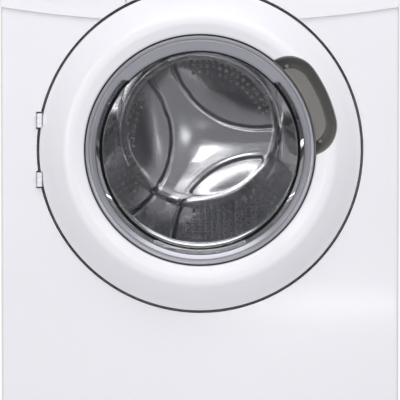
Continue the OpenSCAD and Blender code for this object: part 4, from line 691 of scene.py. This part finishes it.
@dataclass
class Handle:
    """The grey pocket in the ring and the plate beside the silver ring that is pulled."""

    inner_r: float = 172.3 * MM
    plate_r: float = 173.5 * MM
    wall: float = 1.5 * MM
    cove: float = 13.0 * MM
    below_face: float = 0.5 * MM
    floor_y: float = -254.5 * MM
    back_y: float = -252.5 * MM
    behind_plate: float = -268.5 * MM
    plate_y: Pair = (-274.5 * MM, -270.5 * MM)
    pin: Pair = (170.0 * MM, -267.5 * MM)
    pin_r: float = 1.6 * MM
    pin_v: Pair = (52.0 * MM, 62.6 * MM)
    ear_v: Pair = (52.6 * MM, 56.6 * MM)
    post_v: Pair = (59.0 * MM, 63.6 * MM)
    fan_u: float = 188.0 * MM  # the place along the middle line that the closing fans meet at

    def build(self) -> None:
        """Makes the pocket and the grip."""
        for piece, finish, body, slot, nodes in (
                (self.pocket(), GREY_ABS, "door", "grey_plastic", ["handle_scoop"]),
                (self.posts(), GREY_ABS, "door", "grey_plastic", []),
                (self.grip(), PLATE_ABS, "grip", "dark_plastic", ["handle_lever"])):
            hand_over(piece, finish.build(), body, nodes, sharp=40)

    @staticmethod
    def at(polar: Array, y: Array | float) -> Array:
        """Points of a polar outline, turned to the handle's angle, at their depths."""
        return about(DOOR_Z, polar[:, 1], polar[:, 0] + HANDLE_ANGLE, y)

    @staticmethod
    def placed(u: Array, v: Array, y: Array) -> Array:
        """Points given along and across the handle's middle line, and by depth."""
        c, n = cos(HANDLE_ANGLE), sin(HANDLE_ANGLE)
        return np.stack([u * c - v * n, y, DOOR_Z + u * n + v * c], axis=-1)

    @staticmethod
    def fan(loop: Array, middle: Array, patches: Patches, wrap_u: bool = False) -> None:
        """Closes an outline with faces that meet at one point."""
        patches.add(np.stack([loop, np.broadcast_to(middle, loop.shape)], axis=1), wrap_u=wrap_u)

    def prism(self, section: Array, ends: Pair, patches: Patches) -> None:
        """Adds two blocks that run across the handle's middle line, one to each side of it.

        Args:
            section: their closed outline from the pins' axis, along the line and by depth.
            ends: how far from the line they begin and end.
            patches: what they are added to.
        """
        u, y = (self.pin + section).T
        for sign in (-1, 1):
            loops = [self.placed(u, np.full_like(u, sign * v), y) for v in ends]
            patches.add(np.stack(loops, axis=1))
            for loop in loops:
                self.fan(loop, loop[:-1].mean(axis=0), patches)

    def shell(self, rings: list[Array], patches: Patches) -> None:
        """Joins closed outlines into a shell and closes its first and last with a fan.

        Args:
            rings: the outlines, with as many points each.
            patches: what the shell is added to.
        """
        patches.add(np.stack(rings, axis=1), wrap_u=True)
        for ring in (rings[0], rings[-1]):
            middle = self.placed(np.array([self.fan_u]), np.array([0.0]), ring[:1, 1])
            self.fan(ring, middle, patches, wrap_u=True)

    def pocket(self) -> Piece:
        """The pocket: a thin wall round the outline, and a cove from its rim to its floor.

        The cove is a quarter of an ellipse: at the angle t it is drawn in by cove (1 - cos t)
        and lies sin t of the way from the rim to the floor. The rim follows the white ring's
        face, and beside the silver ring it ends behind the plate.

        Returns:
            The new object.
        """
        face = Door().front_profile()[0]
        outline = POCKET.loop(0.0, self.inner_r)
        rim = np.interp(outline[:, 1], face[:, 0], face[:, 1]) + self.below_face
        rim[outline[:, 1] < self.inner_r + 0.1 * MM] = self.behind_plate
        rings = [self.at(outline, self.back_y), self.at(outline, rim)]
        for t in np.linspace(0, pi / 2, 15):
            drawn = POCKET.loop(self.wall + self.cove * (1 - cos(t)), self.inner_r + self.wall)
            rings.append(self.at(drawn, rim + (self.floor_y - rim) * sin(t)))
        patches = Patches()
        self.shell(rings, patches)
        return patches.build("handle_pocket")

    def posts(self) -> Piece:
        """The two posts that hold the plate's pins, as round-topped blocks.

        Returns:
            The new object.
        """
        patches = Patches()
        corners = [(-3.0, 13.0), (-3.0, -2.4), (3.0, -2.4), (3.0, 13.0)]
        top = rounded(corners, [0, 1.6, 1.6, 0]) * MM
        self.prism(np.vstack([top, top[:1]]), self.post_v, patches)
        return patches.build("handle_posts")

    def grip(self) -> Piece:
        """The plate: closed outlines stacked over its depth, with a low bead along its edge.

        Returns:
            The new object.
        """
        front, back = self.plate_y
        steps = [(0.8, back), (0.0, back - 0.7 * MM), (0.0, front + 0.9 * MM),
                 (0.3, front + 0.3 * MM), (0.9, front), (1.6, front + 0.05 * MM),
                 (2.4, front + 0.5 * MM), (3.4, front + 0.7 * MM)]
        rings = [self.at(PLATE.loop(s * MM, self.plate_r + s * MM), y) for s, y in steps]
        patches = Patches()
        self.shell(rings, patches)
        t = np.linspace(0, 2 * pi, 21)
        ear = [(-3.0, 3.0), (-3.0, -3.4), (3.0, -3.4), (3.0, 3.0), (-3.0, 3.0)]
        self.prism(np.stack([np.cos(t), np.sin(t)], axis=1) * self.pin_r, self.pin_v, patches)
        self.prism(np.array(ear) * MM, self.ear_v, patches)
        return patches.build("pull_grip")


@dataclass
class Drum:
    """The stainless drum: perforated shell, back with its pressed star, and lifters."""

    radius: float = 236.0 * MM
    back_y: float = 186.0 * MM
    back_t: float = 1.4 * MM
    star_h: float = 4.0 * MM
    petals: tuple[float, ...] = (60.0, 180.0, 300.0)
    petal_r: float = 143.0 * MM
    petal_off: tuple[float, ...] = (191.0 * MM, 193.0 * MM, 200.0 * MM)
    edge_r: float = 205.0 * MM
    step_over: float = 4.0 * MM
    bead: Triple = (0.8 * MM, 5.0 * MM, 2.4 * MM)  # height, place, spread
    crown: Pair = (0.9 * MM, 42.0 * MM)  # height, and the run it rises over
    hollow: Pair = (-5.0 * MM, 85.0 * MM)
    dome: Pair = (2.5 * MM, 34.0 * MM)
    holes_around: int = 132
    hole_rows: Triple = (-118.0, 168.0, 9.5)  # from, to and step, in mm
    hole_rings: Triple = (112.0, 200.0, 10.5)
    hole_pitch: float = 11.0 * MM
    petal_rim: float = 16.0 * MM
    lifter_clear: float = 10.5  # degrees
    lifter_y: Pair = (-124.0 * MM, 169.0 * MM)
    lifter_half: float = 34.0 * MM
    lifter_h: float = 55.0 * MM
    lifter_gap: float = 0.6 * MM

    def build(self) -> None:
        """Makes the drum's pieces and ties them to the drum body."""
        steel = DRUM_STEEL.build()
        hand_over(self.shell(), steel, "drum", ["drum_shell"])
        hand_over(self.back(), steel, "drum", ["drum_back"], sharp=80)
        shade = SHADE.build()
        for name, places in (("wall_perforations", self.wall_places()),
                             ("back_perforations", self.back_places())):
            holes = self.perforations(name, *places)
            hand_over(holes, steel, "drum", sharp=60)
            holes.data.materials.append(shade)
            holes.data.polygons.foreach_set("material_index", self.inside_hole(holes.data))
        hand_over(self.lifters(), LIFTER_PP.build(), "drum", ["drum_lifters"],
                  sharp=50)

    def shell(self) -> Piece:
        """The rolled shell with its turned-in front edge, a closed section about the axis.

        Rolling leaves slow swells round it, sine waves of a quarter of a millimetre.

        Returns:
            The new object.
        """
        inner = [(236.0, 191.5), (236.0, -138.0), (233.0, -145.5), (225.0, -149.0),
                 (176.0, -152.6), (164.0, -152.4), (159.6, -150.0), (158.6, -144.0)]
        outer = [(157.4, -144.0), (158.4, -150.8), (163.6, -153.6), (176.0, -153.9),
                 (225.6, -150.2), (234.0, -146.4), (237.2, -138.4), (237.2, 191.5)]
        path = np.vstack([rounded(inner, [0, 14, 6, 6, 20, 4, 3, 0]),
                          rounded(outer, [0, 3, 4, 20, 6, 6, 14, 0])]) * MM
        path = resampled(np.vstack([path, path[:1]]), 12 * MM)
        angles = full_turn(288)
        swell = 1 + 0.0011 * np.sin(9 * angles + 1.6 * np.sin(2 * angles))
        swell += 0.0007 * np.sin(23 * angles)
        return closed_shell("drum_wall", turned(path, DRUM_Z, angles, swell[:, None]))

    def petal_gap(self, x: Array, z: Array) -> Array:
        """How far places lie outside the nearest petal, below zero inside it."""
        return np.min([np.hypot(x - off * cos(t), z - off * sin(t)) - self.petal_r
                       for t, off in zip(map(radians, self.petals), self.petal_off)], axis=0)

    def star_lift(self, x: Array, z: Array) -> Array:
        """How far the back is pressed forward at a place.

        The star is the disc less its three round petals. The lift rises over step_over at
        its edge to a narrow bead, each arm is crowned, each petal hollow, and the sheet
        swells a little.

        Args:
            x: across, from the drum's axis.
            z: up, from the drum's axis.
        Returns:
            The lift in metres.
        """
        petal = self.petal_gap(x, z)
        edge = eased((self.edge_r - np.hypot(x, z)) / (15 * MM))
        step = self.star_h * eased(petal / self.step_over + 0.2)
        height, middle, spread = self.bead
        bead = height * np.exp(-((petal - middle) / spread) ** 2)
        crown = self.crown[0] * eased(petal / self.crown[1])
        hollow = self.hollow[0] * eased(-petal / self.hollow[1])
        dome = self.dome[0] * np.exp(-(np.hypot(x, z) / self.dome[1]) ** 2)
        swell = 0.28 * MM * np.sin(x / (21 * MM) + 1.3 * np.sin(z / (33 * MM)))
        swell *= np.sin(z / (27 * MM) + 0.7)
        return (step + bead + crown + dome + hollow + swell) * edge

    def back_at(self, r: Array, a: Array) -> Array:
        """Points of the back's front surface at radii r and angles a."""
        lift = self.star_lift(r * np.cos(a), r * np.sin(a))
        return about(DRUM_Z, r, a, self.back_y - lift)

    def back(self) -> Piece:
        """The drum's back, a height field over polar coordinates, with a rolled edge.

        Returns:
            The new object.
        """
        r = np.concatenate([np.linspace(0, 206, 138), np.linspace(208, 235.4, 10)]) * MM
        a = full_turn(400)
        sheet = self.back_at(*np.meshgrid(r, a))
        edge = [(235.7, 188.0), (235.7, 196.0), (234.6, 196.0), (234.6, 189.0)]
        rim = turned(np.array(edge) * MM, DRUM_Z, a)
        rear = self.back_at(*np.meshgrid(np.linspace(233.0, 0, 60) * MM, a))
        rear[..., 1] += self.back_t
        rear[:, 0, 1] = 187.6 * MM
        return closed_shell("drum_star_back", np.concatenate([sheet, rim, rear], axis=1),
                            merge=5e-6)

    def wall_places(self) -> tuple[Array, Array, Array]:
        """Where the wall's holes lie, in rows set off by half a step, clear of the lifters.

        Returns:
            The places, the directions across, and the directions into the drum.
        """
        places, across, inward = [], [], []
        for i, y in enumerate(np.arange(*self.hole_rows) * MM):
            a = full_turn(self.holes_around) + (i % 2) * pi / self.holes_around
            a = a[np.abs((np.degrees(a) + 60) % 120 - 60) > self.lifter_clear]
            places.append(about(DRUM_Z, self.radius, a, y))
            across.append(np.stack([-np.sin(a), 0 * a, np.cos(a)], 1))
            inward.append(np.stack([-np.cos(a), 0 * a, -np.sin(a)], 1))
        return np.vstack(places), np.vstack(across), np.vstack(inward)

    def back_places(self) -> tuple[Array, Array, Array]:
        """Where the holes of the back's petals lie, in rings set off by half a step.

        Returns:
            The places, the directions across, and the directions into the drum.
        """
        places = []
        for i, r in enumerate(np.arange(*self.hole_rings) * MM):
            count = int(round(2 * pi * r / self.hole_pitch))
            a = full_turn(count) + (i % 2) * pi / count
            a = a[self.petal_gap(r * np.cos(a), r * np.sin(a)) < -self.petal_rim]
            places.append(self.back_at(np.full_like(a, r), a))
        p = np.vstack(places)
        return p, np.tile([1.0, 0.0, 0.0], (len(p), 1)), np.tile([0.0, -1.0, 0.0], (len(p), 1))

    @staticmethod
    def perforations(name: str, p: Array, ux: Array, n: Array) -> Piece:
        """Small holes with pressed rims, as one piece.

        Each is a copy of one low ring of eight sides: out flat, up over a round rim and down
        into a dark hole, closed at its bottom.

        Args:
            name: the piece's name.
            p: the holes' places.
            ux: a direction across each.
            n: the direction that each rim stands out to.
        Returns:
            The new object.
        """
        t = full_turn(8)
        rings = [(3.7, 0.02), (2.7, 0.80), (1.9, 0.60), (1.6, 0.05), (0.0, 0.05)]
        flat = np.stack([np.stack([r * np.cos(t), r * np.sin(t), np.full_like(t, h)], axis=-1)
                         for r, h in rings], axis=1) * MM
        frames = np.stack([ux, np.cross(n, ux), n], axis=1)
        patches = Patches()
        for hole in p[:, None, None] + np.einsum("uvk,hkc->huvc", flat, frames):
            patches.add(hole, wrap_u=True)
        return patches.build(name, Facing.LAID, merge=1e-5)

    @staticmethod
    def inside_hole(mesh: Mesh) -> Array:
        """The material number of each face of the perforations.

        Args:
            mesh: the perforations' mesh.
        Returns:
            1 for the three-sided faces of the bottoms, 0 for the others.
        """
        sides = np.empty(len(mesh.polygons), np.int32)
        mesh.polygons.foreach_get("loop_total", sides)
        return (sides == 3).astype(np.int32)

    def lifters(self) -> Piece:
        """Three hollow-sided ribs: a rounded wedge in section, drawn in at both ends.

        Across, the height over the wall is lifter_h times a bell curve, and along the drum it
        rises and falls over the first and last part.

        Returns:
            The new object.
        """
        across = np.linspace(-1, 1, 41)
        bell = np.cos(across * pi / 2) ** 1.25
        along = np.linspace(0, 1, 61)
        ends = np.clip(along / 0.14, 0, 1) * np.clip((1 - along) / 0.10, 0, 1)
        ends = np.sin(ends * pi / 2)[:, None] ** 0.8
        first, last = self.lifter_y
        off = across * self.lifter_half * (0.55 + 0.45 * ends)
        y = np.broadcast_to((first + (last - first) * along)[:, None], off.shape)
        wall = np.sqrt((self.radius - self.lifter_gap) ** 2 - off ** 2)
        patches = Patches()
        for turn in (0, 120, 240):
            a, b = cos(radians(turn)), sin(radians(turn))
            top, under = (np.stack([r * a - off * b, y, DRUM_Z + r * b + off * a], axis=-1)
                          for r in (wall - self.lifter_h * bell * ends, wall))
            around = np.concatenate([top, under[:, -2:0:-1]], axis=1)
            patches.add(around.swapaxes(0, 1), wrap_u=True)
        return patches.build("lifters")


@dataclass
class Gasket:
    """The folded rubber bellows between the front panel and the tub."""

    mouth: float = 170.0  # millimetres, as the next two
    front_y: float = -222.0
    half_wall: float = 1.5

    def build(self) -> None:
        """Makes the bellows."""
        m, f = self.mouth, self.front_y
        path = [(m + 3, f - 5), (m + 3, f - 13.8), (m - 2, f - 15.5), (m - 2, f),
                (m - 2.5, f + 8), (m + 10, f + 13), (m + 13, f + 16.5), (m + 10, f + 20),
                (m - 7, f + 24), (m - 9.5, f + 27.5), (m - 7, f + 31), (m + 3, f + 35),
                (m + 3, -167.0)]
        middle = rounded(path, [0, 3, 3, 3, 5, 4, 4, 4, 4, 3.5, 4, 4, 0], 6)
        along = np.gradient(middle, axis=0)
        along /= np.linalg.norm(along, axis=1)[:, None]
        side = np.stack([-along[:, 1], along[:, 0]], axis=1) * self.half_wall
        loop = np.vstack([middle + side, (middle - side)[::-1], (middle + side)[:1]]) * MM
        bellows = closed_shell("bellows", turned(loop, DOOR_Z, full_turn(240)))
        hand_over(bellows, GREY_RUBBER.build(), "cabinet", ["door_gasket"],
                  sharp=60)


@dataclass
class Carcass:
    """The CAD nodes that keep their own shape, each with the finish of the real piece."""

    finishes: dict[Finish, str] = field(default_factory=lambda: {
        ENAMEL: "left_side_panel right_side_panel front_panel hinge_bracket door_hinge_arm",
        GALVANISED: "rear_panel rear_access_cover",
        BLACK_ABS: "base_tray transit_hole_plugs cable_gland damper_cylinders",
        MELAMINE: "worktop",
        WHITE_ABS: "kick_plinth control_panel filter_flap drawer_front",
        SMOKED: "display_window",
        BOARD: "control_board",
        FILLED_PP: "dispenser_housing tub_rear tub_front",
        BLACK_RUBBER: "levelling_feet sump_hose drive_belt",
        WHITE_PP: "door_lock inlet_valve inlet_hose drawer_tray",
        ZINC_PLATE: "hinge_pins panel_screws gasket_clamps suspension_springs "
                    "drum_shaft motor_pulley latch_hook",
        GREY_RUBBER: "dispenser_hose",
        GREY_ABS: "drain_pump drain_hose pump_filter",
        CONCRETE: "upper_counterweight front_counterweight",
        STAINLESS: "damper_rods heating_element drum_bearings",
        DIE_CAST: "drive_motor drum_spider drum_pulley",
        # painted shade: the inner frame's dark grey also darkens the gap round the door
        DARK_ABS_GAP_SHADE: "door_inner_frame",
        SILVER_PAINT: "programme_knob start_button option_button",
    })

    def build(self) -> None:
        """Puts each finish on its nodes."""
        for finish, nodes in self.finishes.items():
            material = finish.build()
            for node in nodes.split():
                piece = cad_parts[node]
                piece.data.materials.clear()
                piece.data.materials.append(material)
                LOG.info("%s gets %s", node, finish.name)


def aimed(name: str, data: bpy.types.ID, place: Vector, aim: Vector) -> Piece:
    """Puts a lamp or the camera in the scene.

    Args:
        name: the object's name.
        data: the lamp's or camera's own data.
        place: where it is.
        aim: the place that it looks at.
    Returns:
        The new object.
    """
    item = bpy.data.objects.new(name, data)
    item.location = place
    item.rotation_euler = (aim - place).to_track_quat("-Z", "Y").to_euler()
    bpy.context.scene.collection.objects.link(item)
    return item


@dataclass
class Studio:
    """The plain pale floor, the soft lamps and the camera."""

    distance: float = 4.0
    camera_z: float = 0.560
    aim_z: float = 0.4145
    front_y: float = -0.245
    width_at_front: float = 0.6036
    fade: Pair = (0.50, 0.84)  # where white begins and is full, from the middle
    surround: float = 0.42
    lamp_aim: Triple = (0.0, -0.2, 0.5)

    def build(self) -> None:
        """Makes the stage, the lamps, the world and the camera."""
        wide, across, up = np.linspace(-6, 6, 3), np.linspace(-1, 1, 3), np.linspace(0, 1.5, 3)
        self.plane("floor", "e9e9ea", [wide, wide, 0.0])
        self.plane("card", "b4b4b8", [across, -4.9, up])
        self.lamps()
        self.world()
        self.camera()

    def plane(self, name: str, colour: str, spans: Sequence[Array | float]) -> None:
        """A flat matt sheet: the wide pale floor, or the grey card behind the camera.

        To the camera it fades to the white background away from the middle.

        Args:
            name: the sheet's name.
            colour: six hex digits.
            spans: its places along x, y and z; one of the three is a single number.
        """
        grid = np.stack(np.meshgrid(*spans, indexing="ij"), axis=-1).reshape(3, 3, 3)
        patches = Patches()
        patches.add(grid)
        sheet = patches.build(name, Facing.LAID)
        material = bpy.data.materials.new("studio " + name)
        material.use_nodes = True
        tree = material.node_tree
        shader = tree.nodes["Principled BSDF"]
        plug(shader, {"Base Color": linear(colour), "Roughness": 0.7})
        place = add_node(tree, "TexCoord").outputs["Object"]
        far = add_node(tree, "VectorMath", {0: place}, operation="LENGTH")
        near, full = self.fade
        fade = add_node(tree, "MapRange", {
            "Value": far.outputs["Value"], "From Min": near, "From Max": full},
            interpolation_type="SMOOTHSTEP")
        seen = add_node(tree, "LightPath").outputs["Is Camera Ray"]
        share = add_node(tree, "Math", {0: fade.outputs[0], 1: seen},
                         operation="MULTIPLY")
        white = add_node(tree, "Emission", {"Color": WHITE, "Strength": 1.0})
        mix = add_node(tree, "MixShader", {
            0: share.outputs[0], 1: shader.outputs[0], 2: white.outputs[0]})
        plug(tree.nodes["Material Output"], {"Surface": mix.outputs[0]})
        sheet.data.materials.append(material)

    def lamps(self) -> None:
        """A wide lamp above the front, a strip to each side, and three cards by the camera."""
        for name, place, wide, high, power in (
                ("overhead", (0.0, -1.6, 2.6), 2.6, 1.6, 31.5),
                ("front_left", (-1.9, -3.0, 1.2), 0.35, 1.9, 10.0),
                ("front_right", (1.7, -3.3, 1.6), 0.5, 1.6, 10.0),
                ("over_camera", (0.25, -4.4, 1.9), 1.5, 0.7, 13.5),
                ("beside_camera", (-1.18, -4.2, 0.66), 0.30, 1.0, 6.5),
                ("low_card", (0.25, -3.0, 0.05), 0.55, 0.06, 0.9)):
            data = bpy.data.lights.new(name, "AREA")
            data.shape = "RECTANGLE"
            data.size, data.size_y, data.energy = wide, high, power
            aimed(name, data, Vector(place), Vector(self.lamp_aim))

    def world(self) -> None:
        """An even pale surround: white to the camera, a little darker as light."""
        world = bpy.data.worlds.new("studio")
        bpy.context.scene.world = world
        world.use_nodes = True
        tree = world.node_tree
        tree.nodes.clear()
        path = add_node(tree, "LightPath")
        lit = add_node(tree, "Background", {
            "Color": linear("fbfbfd"), "Strength": self.surround})
        seen = add_node(tree, "Background", {"Color": WHITE, "Strength": 1.0})
        mix = add_node(tree, "MixShader", {
            0: path.outputs["Is Camera Ray"], 1: lit.outputs[0], 2: seen.outputs[0]})
        add_node(tree, "OutputWorld", {"Surface": mix.outputs[0]})

    def camera(self) -> None:
        """The photograph's view: from the front, a little above, with a long lens."""
        data = bpy.data.cameras.new("camera")
        data.sensor_width = sensor = 36.0
        place = Vector((0.0, self.front_y - self.distance, self.camera_z))
        aim = Vector((0.0, self.front_y, self.aim_z))
        data.lens = sensor * (aim - place).length / self.width_at_front
        data.clip_start, data.clip_end = 0.1, 50.0
        bpy.context.scene.camera = aimed("camera", data, place, aim)


def main() -> None:
    """Builds the looks, piece by piece."""
    logging.basicConfig(level=logging.INFO, format="%(message)s")
    bpy.context.scene.view_settings.view_transform = "Standard"
    Carcass().build()
    Gasket().build()
    Drum().build()
    Door().build()
    Handle().build()
    Studio().build()


if __name__ == "__main__":
    main()
